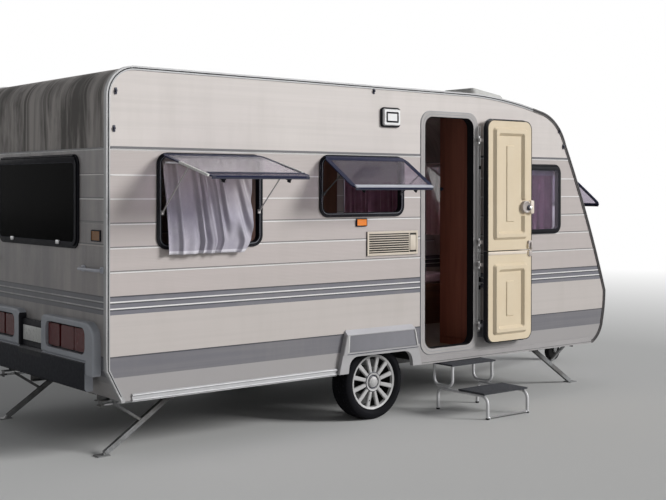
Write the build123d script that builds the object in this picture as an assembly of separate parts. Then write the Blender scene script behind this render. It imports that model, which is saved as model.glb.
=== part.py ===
from build123d import *
from math import atan2, cos, degrees, hypot, radians, sin, sqrt
import os

# Travel caravan, standing parked on its jockey wheel and four corner steadies.
# Millimetres. Origin on the ground under the middle of the road wheels.
# +X points to the coupling, +Y to the left side, +Z up. The door is on the right side, -Y.

# Body shell. RUN is a distance back from KINK_X, DROP a distance below the roof or the kink
HALF_WIDTH = 1050
WALL = 30
INNER_Y = HALF_WIDTH - WALL
SIDE_BOTTOM = 395
REAR_X = -2311
REAR_FOOT_RUN = 109
REAR_FOOT_RISE = 211
ROOF_REAR_Z = 2574
ROOF_REAR_RADIUS = 200
ROOF_FLAT_RUN = 1699
ROOF_FALL = 19
CROWN_RUN = 887
CROWN_DROP = 129
CROWN_BULGE = 20
BROW_RUN = 555
BROW_DROP = 407
BROW_BULGE = 59
KINK_X = 2732
KINK_Z = 854
SLOPE_BULGE = 26
CHIN_RUN = 35
CHIN_DROP = 272
CHIN_BULGE = 8
TOE_RUN = 176
TOE_BULGE = 30
SEAM_Z = ROOF_REAR_Z - 534
FLOOR_TOP = SIDE_BOTTOM + 70
FLOOR_THICKNESS = 40
SKIN_GAP = 0.3
TRIM_PROUD = 8
TRIM_SIDE_PROUD = 6
TRIM_LAP = 20
CUT_OVER = 5

# Windows
FRAME_WIDTH = 30
FRAME_PROUD = 10
FRAME_RADIUS = 80
PANE_THICKNESS = 8
PANE_INSET = 18
PANE_STANDOFF = 6
HINGE_RAIL_RADIUS = 7
HINGE_RAIL_INSET = 60
HINGE_GAP = 0.3
STAY_RADIUS = 5
STAY_INSET = 36

# Door
DOOR_LOW_X = 478
DOOR_WIDTH = 546
DOOR_HIGH_X = DOOR_LOW_X + DOOR_WIDTH
DOOR_LOW_Z = SIDE_BOTTOM + 109
DOOR_HIGH_Z = ROOF_REAR_Z - 219
DOOR_RADIUS = 80
DOOR_FRAME_WIDTH = 41
DOOR_FRAME_HINGE_WIDTH = 47
DOOR_FRAME_PROUD = 6
DOOR_SPLIT_Z = SIDE_BOTTOM + 870
DOOR_SPLIT_GAP = 8
DOOR_THICKNESS = 37
DOOR_CLEARANCE = 6
DOOR_LIP = 8
DOOR_LIP_LAP = 10
DOOR_HINGE_X = DOOR_HIGH_X + 35
DOOR_HINGE_Y = -HALF_WIDTH - 35
DOOR_HINGES_Z = (DOOR_LOW_Z + 151, DOOR_SPLIT_Z - 110, DOOR_SPLIT_Z + 75, DOOR_HIGH_Z - 175)
KNUCKLE_RADIUS = 9
KNUCKLE_HALF = 14
PIN_RADIUS = 4
PIN_FIT = 0.05

# Mouldings on the inner face of the door
RIDGE_HEIGHT = 22
RIDGE_WIDTH = 70
RIDGE_SIDE = 62
RIDGE_END = 60
RIDGE_ABOVE_SPLIT = 90
RIDGE_BELOW_SPLIT = 105
FIELD_SIDE = 86
FIELD_END = 78
FIELD_HEIGHT = 7
LOCK_Z = SIDE_BOTTOM + 1230
LOCK_PAD = 150
LOCK_PAD_HEIGHT = 140
LOCK_LENGTH = 100
LOCK_HEIGHT = 92
LOCK_DEPTH = 22

# Running gear
WHEEL_RADIUS = 288
WHEEL_WIDTH = 195
WHEEL_Y = HALF_WIDTH - 138
RIM_RADIUS = 209
SPOKES = 12
STUB_RADIUS = 20
AXLE_X = 165
AXLE_Z = WHEEL_RADIUS - 26
AXLE_RADIUS = 48
SWING_ARM_Y = WHEEL_Y - 137
ARCH_PROUD = 44
ARCH_BEVEL = 5
ARCH_LOW_X = -WHEEL_RADIUS - 128
ARCH_TOP_LOW_X = -WHEEL_RADIUS - 48
ARCH_TOP_HIGH_X = WHEEL_RADIUS + 51
ARCH_HIGH_X = WHEEL_RADIUS + 129
ARCH_TOP_Z = 2 * WHEEL_RADIUS + 142
ARCH_SLOPE = 34
ARCH_OPEN_LOW_X = -WHEEL_RADIUS - 22
ARCH_OPEN_HIGH_X = WHEEL_RADIUS + 20
ARCH_OPEN_Z = 2 * WHEEL_RADIUS - 58
ARCH_OPEN_RADIUS = 85
ARCH_STEP_Z = ARCH_OPEN_Z + 18
ARCH_STEP_DEPTH = 6
ARCH_PANEL_DEPTH = 9
WHEEL_CUT_Z = 2 * WHEEL_RADIUS + 34
HOUSING_X = WHEEL_RADIUS + 90
HOUSING_Y = WHEEL_Y - WHEEL_WIDTH / 2 - 45
HOUSING_Z = 2 * WHEEL_RADIUS + 74
HOUSING_WALL = 6

# Chassis
RAIL_Y = 520
RAIL_HEIGHT = 110
RAIL_WIDTH = 45
RAIL_GAUGE = 5
RAIL_TOP = FLOOR_TOP - FLOOR_THICKNESS
RAIL_REAR_X = REAR_X + 191
MEMBER_HEIGHT = 70
MEMBER_GAUGE = 4
DRAWBAR_START_X = KINK_X - 1132
DRAWBAR_END_X = KINK_X + 1028
DRAWBAR_END_Y = 55
DRAWBAR_TOP = SIDE_BOTTOM - 10
DRAWBAR_HEIGHT = 80
SPLICE_THICKNESS = 6
BALL_X = DRAWBAR_END_X + 180
BALL_Z = DRAWBAR_TOP + 45
BALL_RADIUS = 25.5
COUPLING_RADIUS = 44

# Jockey wheel
JOCKEY_X = DRAWBAR_END_X - 240
JOCKEY_Y = -215
JOCKEY_WHEEL_RADIUS = 90
JOCKEY_WHEEL_WIDTH = 60
JOCKEY_TRAIL = 35
JOCKEY_TUBE_RADIUS = 24
JOCKEY_TUBE_WALL = 3
JOCKEY_TUBE_LOW_Z = DRAWBAR_TOP - 55
JOCKEY_TUBE_HIGH_Z = DRAWBAR_TOP + 355
JOCKEY_LEG_HIGH_Z = JOCKEY_TUBE_HIGH_Z - 130
JOCKEY_SWIVEL_RADIUS = 10
JOCKEY_AXLE_RADIUS = 8
JOCKEY_CRANK = 90

# Corner steadies
STEADY_Y = HALF_WIDTH - 250
STEADY_PIVOT_Z = RAIL_TOP - 85
STEADY_REACH = 510
STEADY_ELBOW = 250
STEADY_REAR_X = REAR_X + 600
STEADY_FRONT_X = KINK_X - 683
STEADY_PIN_RADIUS = 5

# Front locker lid
LOCKER_TOP_Z = KINK_Z + 12
LOCKER_BOTTOM_Z = SIDE_BOTTOM + 50
LOCKER_HALF_WIDTH = HALF_WIDTH - 90
LID_INNER = 26
LID_OUTER = 38
LID_HINGE_RADIUS = 6

# Rear bumper and lamps
BUMPER_DEPTH = 60
BUMPER_LOW_Z = SIDE_BOTTOM + 55
BUMPER_LEDGE_Z = SIDE_BOTTOM + 255
HOOP_OUTER_Y = HALF_WIDTH - 80
HOOP_INNER_Y = 184
HOOP_LEG = 112
HOOP_BAR = 37
HOOP_FOOT_Z = BUMPER_LEDGE_Z - 93
HOOP_TOP_Z = BUMPER_LEDGE_Z + 255
RECESS_DEPTH = 36
PLATE_PANEL_DEPTH = 30
PLATE_PANEL_HALF = 190

# Free-standing step
STEP_LOW_X = DOOR_LOW_X + 201
STEP_HIGH_X = STEP_LOW_X + 450
STEP_TUBE = 12
STEP_BEND = 60
STEP_REAR_Y = -HALF_WIDTH + 50
STEP_FRONT_Y = STEP_REAR_Y - 550
STEP_LOW_Z = 175
STEP_TREAD = 12
STEP_HIGH_Z = SIDE_BOTTOM - 17
UPPER_HOOP_REAR_Y = STEP_REAR_Y + 45
UPPER_HOOP_FRONT_Y = STEP_REAR_Y - 165

# Furniture
BOARD = 16
SEAT_TOP = FLOOR_TOP + 385
CUSHION = 100
AISLE_HALF = 450


# Helpers
def block(x0, x1, y0, y1, z0, z1):
    return Pos((x0 + x1) / 2, (y0 + y1) / 2, (z0 + z1) / 2) * Box(x1 - x0, y1 - y0, z1 - z0)


def rod(start, end, radius):
    direction = Vector(*end) - Vector(*start)
    return extrude(Plane(origin=start, z_dir=direction) * Circle(radius), amount=direction.length)


def bent_tube(points, bend, radius):
    path = FilletPolyline(*points, radius=bend)
    return sweep(Plane(origin=path @ 0, z_dir=path % 0) * Circle(radius), path=path)


def plate_xz(face, y0, y1):
    return extrude(Plane.XZ.offset(-y0) * face, amount=y1 - y0, dir=(0, 1, 0))


def plate_yz(face, x0, x1):
    return extrude(Plane.YZ.offset(x0) * face, amount=x1 - x0, dir=(1, 0, 0))


def rounded(low_u, high_u, low_v, high_v, radius):
    width = high_u - low_u
    height = high_v - low_v
    return Pos((low_u + high_u) / 2, (low_v + high_v) / 2) * RectangleRounded(width, height, radius)


def inset(low_u, high_u, low_v, high_v, radius, by):
    return rounded(low_u + by, high_u - by, low_v + by, high_v - by, radius - by)


def tapered_xz(low_u, high_u, low_v, high_v, radius, y0, y1, slope):
    foot = Plane.XZ.offset(-y0) * rounded(low_u, high_u, low_v, high_v, radius)
    crest = Plane.XZ.offset(-y1) * inset(low_u, high_u, low_v, high_v, radius, slope)
    return loft([foot.face(), crest.face()], ruled=True)


def corner(face, u, v):
    return face.vertices().sort_by_distance((u, v, 0))[0]


def largest(shape):
    return shape.solids().sort_by(SortBy.VOLUME)[-1]


def left(shape):
    return mirror(shape, about=Plane.XZ)


def both_sides(shape):
    return [shape, left(shape)]


def save(name, solids):
    solids = solids if isinstance(solids, list) else [solids]
    found = [s for item in solids for s in item.solids()]
    export_step(found[0] if len(found) == 1 else Compound(children=found), "parts/" + name + ".step")


os.makedirs("parts", exist_ok=True)

# Side outline of the body, from the low rear corner over the roof to the toe and back.
# Columns: X, Z, height above its chord of the edge that ends here, 0 where it is straight
OUTLINE_POINTS = [
    (REAR_X, SIDE_BOTTOM + REAR_FOOT_RISE, 0),
    (REAR_X, ROOF_REAR_Z - ROOF_REAR_RADIUS, 0),
    (REAR_X + ROOF_REAR_RADIUS, ROOF_REAR_Z, ROOF_REAR_RADIUS * (1 - sqrt(0.5))),
    (KINK_X - ROOF_FLAT_RUN, ROOF_REAR_Z - ROOF_FALL, 0),
    (KINK_X - CROWN_RUN, ROOF_REAR_Z - CROWN_DROP, CROWN_BULGE),
    (KINK_X - BROW_RUN, ROOF_REAR_Z - BROW_DROP, BROW_BULGE),
    (KINK_X, KINK_Z, SLOPE_BULGE),
    (KINK_X - CHIN_RUN, KINK_Z - CHIN_DROP, CHIN_BULGE),
    (KINK_X - TOE_RUN, SIDE_BOTTOM, TOE_BULGE),
    (REAR_X + REAR_FOOT_RUN, SIDE_BOTTOM, 0),
]


def bulged(start, end, height):
    if height == 0:
        return Line(start, end)
    run = Vector(*end) - Vector(*start)
    outward = Vector(-run.Y, run.X).normalized()
    middle = (Vector(*start) + Vector(*end)) / 2 + outward * height
    return ThreePointArc(start, (middle.X, middle.Y), end)


def outline_face():
    rim = Curve()
    start = OUTLINE_POINTS[-1][:2]
    for x, z, height in OUTLINE_POINTS:
        rim += bulged(start, (x, z), height)
        start = (x, z)
    return make_face(rim)


OUTLINE = outline_face()


def outline(grow):
    return offset(OUTLINE, amount=grow, kind=Kind.INTERSECTION)


def band(inner, outer, y0, y1):
    return plate_xz(outline(outer) - outline(inner), y0, y1)


# X of the front wall's face at a height between the brow and the kink, on its circle
def slope_x(z):
    run = Vector(BROW_RUN, -(ROOF_REAR_Z - BROW_DROP - KINK_Z))
    radius = run.length ** 2 / (8 * SLOPE_BULGE) + SLOPE_BULGE / 2
    outward = Vector(-run.Y, run.X).normalized()
    middle = Vector(KINK_X, KINK_Z) - run / 2
    centre = middle - outward * (radius - SLOPE_BULGE)
    return centre.X + sqrt(radius ** 2 - (z - centre.Y) ** 2)


# Side windows. Columns: name, side of the body, low X, length, drop of the top below the seam,
# height, opening angle
SIDE_WINDOWS = [
    ("rear_right", -1, REAR_X + 363, 853, 20, 647, 75.7),
    ("kitchen", -1, DOOR_LOW_X - 1061, 837, 10, 463, 57),
    ("front_right", -1, KINK_X - 1423, 802, 48, 603, 0),
    ("rear_left", 1, REAR_X + 363, 853, 20, 647, 0),
    ("washroom", 1, DOOR_LOW_X - 298, 460, 10, 463, 0),
    ("front_left", 1, KINK_X - 1423, 802, 48, 603, 0),
]
# End windows: low Y, high Y, low Z, high Z
REAR_WINDOW = (-HALF_WIDTH + 387, HALF_WIDTH - 387, SEAM_Z - 665, SEAM_Z - 30)
FRONT_WINDOW = (-HALF_WIDTH + 180, HALF_WIDTH - 180, SEAM_Z - 740, SEAM_Z - 10)
FRONT_HINGE_Z = SEAM_Z - 14
FRONT_HINGE_X = slope_x(FRONT_HINGE_Z) + 17
FRONT_OPEN = 34.8


def window_box(low, length, drop, height):
    return low, low + length, SEAM_Z - drop - height, SEAM_Z - drop


def daylight(low, high, bottom, top):
    return inset(low, high, bottom, top, FRAME_RADIUS, FRAME_WIDTH)


# Shell panels
def side_wall(side):
    y0 = -HALF_WIDTH if side < 0 else INNER_Y
    wall = plate_xz(OUTLINE, y0, y0 + WALL)
    for name, place, low, length, drop, height, angle in SIDE_WINDOWS:
        if place == side:
            opening = daylight(*window_box(low, length, drop, height))
            wall -= plate_xz(opening, y0 - CUT_OVER, y0 + WALL + CUT_OVER)
    wheel_cut = Polygon(
        (-WHEEL_RADIUS - 62, SIDE_BOTTOM - CUT_OVER), (-WHEEL_RADIUS - 12, WHEEL_CUT_Z),
        (WHEEL_RADIUS + 42, WHEEL_CUT_Z), (WHEEL_RADIUS + 88, SIDE_BOTTOM - CUT_OVER), align=None,
    )
    wall -= plate_xz(wheel_cut, y0 - CUT_OVER, y0 + WALL + CUT_OVER)
    if side < 0:
        doorway = rounded(DOOR_LOW_X, DOOR_HIGH_X, DOOR_LOW_Z, DOOR_HIGH_Z, DOOR_RADIUS)
        wall -= plate_xz(doorway, y0 - CUT_OVER, y0 + WALL + CUT_OVER)
    return wall


save("side_wall_right", side_wall(-1))
save("side_wall_left", side_wall(1))

END_WALL_REACH = 125
shell = band(-WALL, 0, -INNER_Y, INNER_Y)
rear_wall = shell & block(REAR_X - 10, REAR_X + END_WALL_REACH, -INNER_Y, INNER_Y, SIDE_BOTTOM - 5, SEAM_Z)
rear_wall -= plate_yz(daylight(*REAR_WINDOW), REAR_X - CUT_OVER, REAR_X + WALL + CUT_OVER)
save("rear_wall", rear_wall)
front_low_x = KINK_X - BROW_RUN
front_wall = shell & block(front_low_x, KINK_X + 10, -INNER_Y, INNER_Y, SIDE_BOTTOM - 5, SEAM_Z)
front_wall -= block(front_low_x, KINK_X - TOE_RUN - 26, -INNER_Y, INNER_Y, SIDE_BOTTOM - 15, FLOOR_TOP)
front_wall -= plate_yz(daylight(*FRONT_WINDOW), front_low_x, KINK_X)
locker_cut = rounded(-LOCKER_HALF_WIDTH + 60, LOCKER_HALF_WIDTH - 60, FLOOR_TOP + 25, LOCKER_TOP_Z - 36, 40)
front_wall -= plate_yz(locker_cut, KINK_X - TOE_RUN - 56, KINK_X + 10)
save("front_wall", front_wall)

# Rooflights. Columns: centre X, centre Y, length, width, height
ROOFLIGHTS = [
    (KINK_X - 1232, -HALF_WIDTH + 490, 400, 400, 115),
    (REAR_X + 1611, 0, 700, 500, 60),
]
ROOFLIGHT_LAP = 40
DOME_FOOT = 12


def roof_z(x):
    flat_x = KINK_X - ROOF_FLAT_RUN
    if x < flat_x:
        return ROOF_REAR_Z - ROOF_FALL * (x - REAR_X - ROOF_REAR_RADIUS) / (flat_x - REAR_X - ROOF_REAR_RADIUS)
    part = (x - flat_x) / (ROOF_FLAT_RUN - CROWN_RUN)
    chord = ROOF_REAR_Z - ROOF_FALL - part * (CROWN_DROP - ROOF_FALL)
    return chord + 4 * CROWN_BULGE * part * (1 - part)


roof = shell & block(REAR_X - 10, KINK_X, -INNER_Y, INNER_Y, SEAM_Z, ROOF_REAR_Z + 10)
roof_vents = []
for x, y, length, width, height in ROOFLIGHTS:
    half_hole_x = length / 2 - ROOFLIGHT_LAP
    half_hole_y = width / 2 - ROOFLIGHT_LAP
    roof -= block(x - half_hole_x, x + half_hole_x, y - half_hole_y, y + half_hole_y,
                  SEAM_Z + 100, ROOF_REAR_Z + 20)
    slope = degrees(atan2(roof_z(x + 50) - roof_z(x - 50), 100))
    dome = Pos(0, 0, (height + DOME_FOOT) / 2) * Box(length, width, height + DOME_FOOT)
    dome = fillet(dome.edges().filter_by(Axis.Z), 45)
    dome = fillet(dome.faces().sort_by(Axis.Z)[-1].edges(), min(40, height * 0.6))
    dome = Pos(x, y, roof_z(x) - DOME_FOOT) * Rot(0, -slope, 0) * dome
    roof_vents.append(dome - plate_xz(outline(SKIN_GAP), -HALF_WIDTH, HALF_WIDTH))
save("roof", roof)
save("roof_vents", roof_vents)

floor_panel = block(REAR_X + WALL + 98, KINK_X - TOE_RUN - 30, -INNER_Y, INNER_Y, RAIL_TOP, FLOOR_TOP)
well_x = HOUSING_X - HOUSING_WALL
for side in (-1, 1):
    floor_panel -= block(-well_x, well_x, min(side * (HOUSING_Y + HOUSING_WALL), side * (INNER_Y + 1)),
                         max(side * (HOUSING_Y + HOUSING_WALL), side * (INNER_Y + 1)), RAIL_TOP - 25, FLOOR_TOP + 35)
save("floor", floor_panel)

# Wheel housings over the floor cutouts
housing = block(-HOUSING_X, HOUSING_X, -INNER_Y, -HOUSING_Y, FLOOR_TOP, HOUSING_Z)
housing -= block(-well_x, well_x, -INNER_Y - 1, -HOUSING_Y - HOUSING_WALL, FLOOR_TOP - 1, HOUSING_Z - HOUSING_WALL)
save("wheel_housings", both_sides(housing))

# Edge trims along the corners of the body, open along its foot where the skirts run
TRIM_FOOT_LAP = 21
trim_foot_low = REAR_X + REAR_FOOT_RUN + TRIM_FOOT_LAP
trim_foot_high = KINK_X - TOE_RUN - TRIM_FOOT_LAP
trim = band(-TRIM_LAP, TRIM_PROUD, -HALF_WIDTH - TRIM_SIDE_PROUD, -HALF_WIDTH)
trim += band(SKIN_GAP, TRIM_PROUD, -HALF_WIDTH, -INNER_Y)
trim -= block(trim_foot_low, trim_foot_high, -HALF_WIDTH - 10, -INNER_Y, SIDE_BOTTOM - 15, SIDE_BOTTOM + 25)
save("edge_trims", both_sides(trim))

# Skirts along the foot of the sides: a rail with two round ribs behind the wheels, a plain sill
# ahead of them. Columns: low X, high X, whether it has ribs
SKIRT_GAP = 2
SKIRTS = [
    (REAR_X + 180, ARCH_LOW_X - SKIRT_GAP, True), (ARCH_HIGH_X + SKIRT_GAP, trim_foot_high - SKIRT_GAP, False),
]
SKIRT_TOP = SIDE_BOTTOM + 45
SKIRT_LIP = 8
RIB_RADIUS = 7
skirts = []
for low, high, ribbed in SKIRTS:
    skirt = block(low, high, -HALF_WIDTH - SKIRT_LIP, -HALF_WIDTH, SIDE_BOTTOM - SKIRT_LIP, SKIRT_TOP)
    skirt += block(low, high, -HALF_WIDTH, -HALF_WIDTH + 20, SIDE_BOTTOM - SKIRT_LIP, SIDE_BOTTOM)
    if ribbed:
        for z in (SIDE_BOTTOM + 4, SKIRT_TOP - 10):
            skirt += rod((low, -HALF_WIDTH - SKIRT_LIP, z), (high, -HALF_WIDTH - SKIRT_LIP, z), RIB_RADIUS)
    skirts += both_sides(skirt)

# Wheel arch covers: a sloped top, a sunk panel above a step, and bevelled edges
arch_outer = Polygon(
    (ARCH_LOW_X, SIDE_BOTTOM), (ARCH_TOP_LOW_X, ARCH_TOP_Z), (ARCH_TOP_HIGH_X, ARCH_TOP_Z),
    (ARCH_HIGH_X, SIDE_BOTTOM), align=None,
)
arch_outer = fillet([corner(arch_outer, ARCH_TOP_LOW_X, ARCH_TOP_Z), corner(arch_outer, ARCH_TOP_HIGH_X, ARCH_TOP_Z)], 16)
arch_hole = Polygon(
    (ARCH_OPEN_LOW_X - 20, SIDE_BOTTOM - 15), (ARCH_OPEN_LOW_X, ARCH_OPEN_Z), (ARCH_OPEN_HIGH_X, ARCH_OPEN_Z),
    (ARCH_OPEN_HIGH_X + 20, SIDE_BOTTOM - 15), align=None,
)
arch_hole = fillet([corner(arch_hole, ARCH_OPEN_LOW_X, ARCH_OPEN_Z), corner(arch_hole, ARCH_OPEN_HIGH_X, ARCH_OPEN_Z)],
                   ARCH_OPEN_RADIUS)
arch_face_y = -HALF_WIDTH - ARCH_PROUD
arch_cover = plate_xz(arch_outer, arch_face_y, -HALF_WIDTH)
arch_cover = chamfer(arch_cover.faces().sort_by(Axis.Y)[0].edges(), ARCH_BEVEL)
wedge = Polygon((arch_face_y - 1, ARCH_TOP_Z + 1), (arch_face_y - 1, ARCH_TOP_Z - ARCH_SLOPE),
                (-HALF_WIDTH - 3, ARCH_TOP_Z + 1), align=None)
arch_cover -= plate_yz(wedge, ARCH_LOW_X, ARCH_HIGH_X)
arch_cover -= block(ARCH_LOW_X - 1, ARCH_HIGH_X + 1, arch_face_y - 1, arch_face_y + ARCH_STEP_DEPTH,
                    SIDE_BOTTOM - 1, ARCH_STEP_Z)
arch_cover -= plate_xz(arch_hole, arch_face_y - 1, -HALF_WIDTH + 1)
arch_panel = Polygon(
    (ARCH_TOP_LOW_X + 11, ARCH_STEP_Z + 16), (ARCH_TOP_LOW_X + 19, ARCH_TOP_Z - ARCH_SLOPE - 6),
    (ARCH_TOP_HIGH_X - 5, ARCH_TOP_Z - ARCH_SLOPE - 6), (ARCH_TOP_HIGH_X + 23, ARCH_STEP_Z + 16), align=None,
)
arch_panel = fillet(arch_panel.vertices(), 6)
arch_cover -= plate_xz(arch_panel, arch_face_y - 1, arch_face_y + ARCH_PANEL_DEPTH)
save("wheel_arch_covers", both_sides(arch_cover))

# Beads pressed into the walls and the seam rail above them, broken at windows and door.
# Columns: drop below the seam, height, how far proud
BEAD_GAP = 4
BEAD_MARGIN = 28
SIDE_BEADS = [(0, 14, 4), (175, 8, 2.5), (333, 8, 2.5), (495, 8, 2.5), (649, 8, 2.5), (805, 8, 2.5)]
REAR_BEADS = [(0, 14, 4), (169, 8, 2.5), (330, 8, 2.5), (486, 8, 2.5), (634, 8, 2.5)]
VENT_LOW_X = DOOR_LOW_X - 602
VENT_HIGH_X = VENT_LOW_X + 522
VENT_LOW_Z = SEAM_Z - 774
VENT_HIGH_Z = SEAM_Z - 588
MARKER_LOW_X = DOOR_LOW_X - 706
MARKER_HIGH_X = MARKER_LOW_X + 99
MARKER_LOW_Z = SEAM_Z - 543
MARKER_HIGH_Z = SEAM_Z - 489


def spans(low, high, gaps):
    found = []
    start = low
    for gap_low, gap_high in sorted(gaps):
        if gap_low > start:
            found.append((start, gap_low))
        start = max(start, gap_high)
    if high > start:
        found.append((start, high))
    return found


def bead_gaps(side, z):
    gaps = []
    for name, place, low, length, drop, height, angle in SIDE_WINDOWS:
        low_x, high_x, low_z, high_z = window_box(low, length, drop, height)
        if place == side and low_z - 12 < z < high_z + 4:
            gaps.append((low_x - BEAD_GAP, high_x + BEAD_GAP))
    if side < 0:
        hinge_edge = DOOR_HIGH_X + DOOR_FRAME_HINGE_WIDTH
        gaps.append((DOOR_LOW_X - DOOR_FRAME_WIDTH - BEAD_GAP, hinge_edge + 45))
        if VENT_LOW_Z - 16 < z < VENT_HIGH_Z + 16:
            gaps.append((VENT_LOW_X - BEAD_GAP, VENT_HIGH_X + BEAD_GAP))
    if MARKER_LOW_Z - 8 < z < MARKER_HIGH_Z + 8:
        gaps.append((MARKER_LOW_X - BEAD_GAP, MARKER_HIGH_X + BEAD_GAP))
    return gaps


beads = []
for side in (-1, 1):
    for drop, height, proud in SIDE_BEADS:
        z = SEAM_Z - drop
        face_y = -HALF_WIDTH - proud if side < 0 else HALF_WIDTH
        for low, high in spans(REAR_X + BEAD_MARGIN, slope_x(z) - BEAD_MARGIN, bead_gaps(side, z)):
            beads.append(block(low, high, face_y, face_y + proud, z - height / 2, z + height / 2))
for drop, height, proud in REAR_BEADS:
    z = SEAM_Z - drop
    gaps = [(REAR_WINDOW[0] - BEAD_GAP, REAR_WINDOW[1] + BEAD_GAP)] if REAR_WINDOW[2] < z < REAR_WINDOW[3] + 8 else []
    for low, high in spans(-INNER_Y + 4, INNER_Y - 4, gaps):
        beads.append(block(REAR_X - proud, REAR_X, low, high, z - height / 2, z + height / 2))
save("wall_beads", beads)


# Window frames, panes and stays
def frame_ring(low, high, bottom, top):
    return rounded(low, high, bottom, top, FRAME_RADIUS) - daylight(low, high, bottom, top)


def pane_outline(low, high, bottom, hinge_z):
    return rounded(low + PANE_INSET, high - PANE_INSET, bottom + PANE_INSET,
                   hinge_z - HINGE_RAIL_RADIUS - HINGE_GAP, FRAME_RADIUS - PANE_INSET)


PANE_Y = -HALF_WIDTH - FRAME_PROUD - PANE_STANDOFF
frames = []
panes = []
stays = []
for name, side, low, length, drop, height, angle in SIDE_WINDOWS:
    low, high, bottom, top = window_box(low, length, drop, height)
    hinge_z = top - PANE_INSET + HINGE_RAIL_RADIUS
    frame = plate_xz(frame_ring(low, high, bottom, top), -HALF_WIDTH - FRAME_PROUD, -HALF_WIDTH)
    frame += rod((low + HINGE_RAIL_INSET, PANE_Y, hinge_z), (high - HINGE_RAIL_INSET, PANE_Y, hinge_z),
                 HINGE_RAIL_RADIUS)
    pane = plate_xz(pane_outline(low, high, bottom, hinge_z), PANE_Y - PANE_THICKNESS / 2, PANE_Y + PANE_THICKNESS / 2)
    pane = Pos(0, PANE_Y, hinge_z) * Rot(-angle, 0, 0) * Pos(0, -PANE_Y, -hinge_z) * pane
    if angle:
        reach = 0.52 * height
        swing = radians(angle)
        lift = PANE_THICKNESS / 2 + STAY_RADIUS + 1.3
        foot_y = -HALF_WIDTH - FRAME_PROUD
        foot_z = top - 0.62 * height
        for x in (low + STAY_INSET, high - STAY_INSET):
            head = (x, PANE_Y - reach * sin(swing) + lift * cos(swing), hinge_z - reach * cos(swing) - lift * sin(swing))
            stay = rod((x, foot_y - 7, foot_z), head, STAY_RADIUS)
            stay += block(x - 9, x + 9, foot_y - 12, foot_y, foot_z - 14, foot_z + 14)
            stays.append(stay)
    frames.append(left(frame) if side > 0 else frame)
    panes.append(left(pane) if side > 0 else pane)

low, high, bottom, top = REAR_WINDOW
hinge_z = top - PANE_INSET + HINGE_RAIL_RADIUS
hinge_x = REAR_X - FRAME_PROUD - PANE_STANDOFF
frame = plate_yz(frame_ring(low, high, bottom, top), REAR_X - FRAME_PROUD, REAR_X)
frame += rod((hinge_x, low + HINGE_RAIL_INSET, hinge_z), (hinge_x, high - HINGE_RAIL_INSET, hinge_z), HINGE_RAIL_RADIUS)
frames.append(frame)
panes.append(plate_yz(pane_outline(low, high, bottom, hinge_z), hinge_x - PANE_THICKNESS / 2, hinge_x + PANE_THICKNESS / 2))

# Front window, on the curved front wall, its pane propped open
FRONT_STANDOFF = 16
FRONT_STAY_Z = SEAM_Z - 420
low, high, bottom, top = FRONT_WINDOW
frame = band(SKIN_GAP, FRAME_PROUD, low, high) & plate_yz(frame_ring(low, high, bottom, top), front_low_x, KINK_X + 20)
hinge_ends = [(FRONT_HINGE_X, y, FRONT_HINGE_Z) for y in (low + HINGE_RAIL_INSET, high - HINGE_RAIL_INSET)]
frame += rod(*hinge_ends, HINGE_RAIL_RADIUS)
frames.append(frame)
pane_face = rounded(low + PANE_INSET, high - PANE_INSET, bottom + PANE_INSET, FRONT_HINGE_Z - 5, FRAME_RADIUS - PANE_INSET)
pane = band(FRONT_STANDOFF, FRONT_STANDOFF + PANE_THICKNESS, low, high) & plate_yz(pane_face, front_low_x, KINK_X + 60)
pane -= rod((FRONT_HINGE_X, low, FRONT_HINGE_Z), (FRONT_HINGE_X, high, FRONT_HINGE_Z), HINGE_RAIL_RADIUS + HINGE_GAP)
pane = Pos(FRONT_HINGE_X, 0, FRONT_HINGE_Z) * Rot(0, -FRONT_OPEN, 0) * Pos(-FRONT_HINGE_X, 0, -FRONT_HINGE_Z) * largest(pane)
panes.append(pane)
lean = radians(FRONT_OPEN) + atan2(BROW_RUN, ROOF_REAR_Z - BROW_DROP - KINK_Z) + radians(0.9)
for y in (low + 40, high - 40):
    pad = band(FRAME_PROUD + SKIN_GAP, FRAME_PROUD + 12, y - 12, y + 12)
    pad &= block(front_low_x, KINK_X, -HALF_WIDTH, HALF_WIDTH, FRONT_STAY_Z - 20, FRONT_STAY_Z + 20)
    foot = (slope_x(FRONT_STAY_Z) + FRAME_PROUD + 8, y, FRONT_STAY_Z)
    head = (FRONT_HINGE_X + 380 * sin(lean) - 5.5 * cos(lean), y, FRONT_HINGE_Z - 380 * cos(lean) - 5.5 * sin(lean) - 2)
    stays.append(largest(pad) + rod(foot, head, STAY_RADIUS))
save("window_frames", frames)
save("window_panes", panes)
save("window_stays", stays)

# Door frame
door_ring = rounded(DOOR_LOW_X - DOOR_FRAME_WIDTH, DOOR_HIGH_X + DOOR_FRAME_HINGE_WIDTH,
                    DOOR_LOW_Z - DOOR_FRAME_WIDTH, DOOR_HIGH_Z + DOOR_FRAME_WIDTH, DOOR_RADIUS + 20)
door_ring -= rounded(DOOR_LOW_X, DOOR_HIGH_X, DOOR_LOW_Z, DOOR_HIGH_Z, DOOR_RADIUS)
save("door_frame", plate_xz(door_ring, -HALF_WIDTH - DOOR_FRAME_PROUD, -HALF_WIDTH))

# Door leaves, modelled closed and turned about the hinge line to stand open
LEAF_OUT_Y = -HALF_WIDTH - DOOR_FRAME_PROUD - DOOR_CLEARANCE
LEAF_IN_Y = LEAF_OUT_Y + DOOR_THICKNESS
LEAF_LOW_X = DOOR_LOW_X + DOOR_CLEARANCE
LEAF_HIGH_X = DOOR_HIGH_X - DOOR_CLEARANCE
LEAF_LOW_Z = DOOR_LOW_Z + DOOR_CLEARANCE
LEAF_HIGH_Z = DOOR_HIGH_Z - DOOR_CLEARANCE
LEAF_RADIUS = DOOR_RADIUS - DOOR_CLEARANCE


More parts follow.
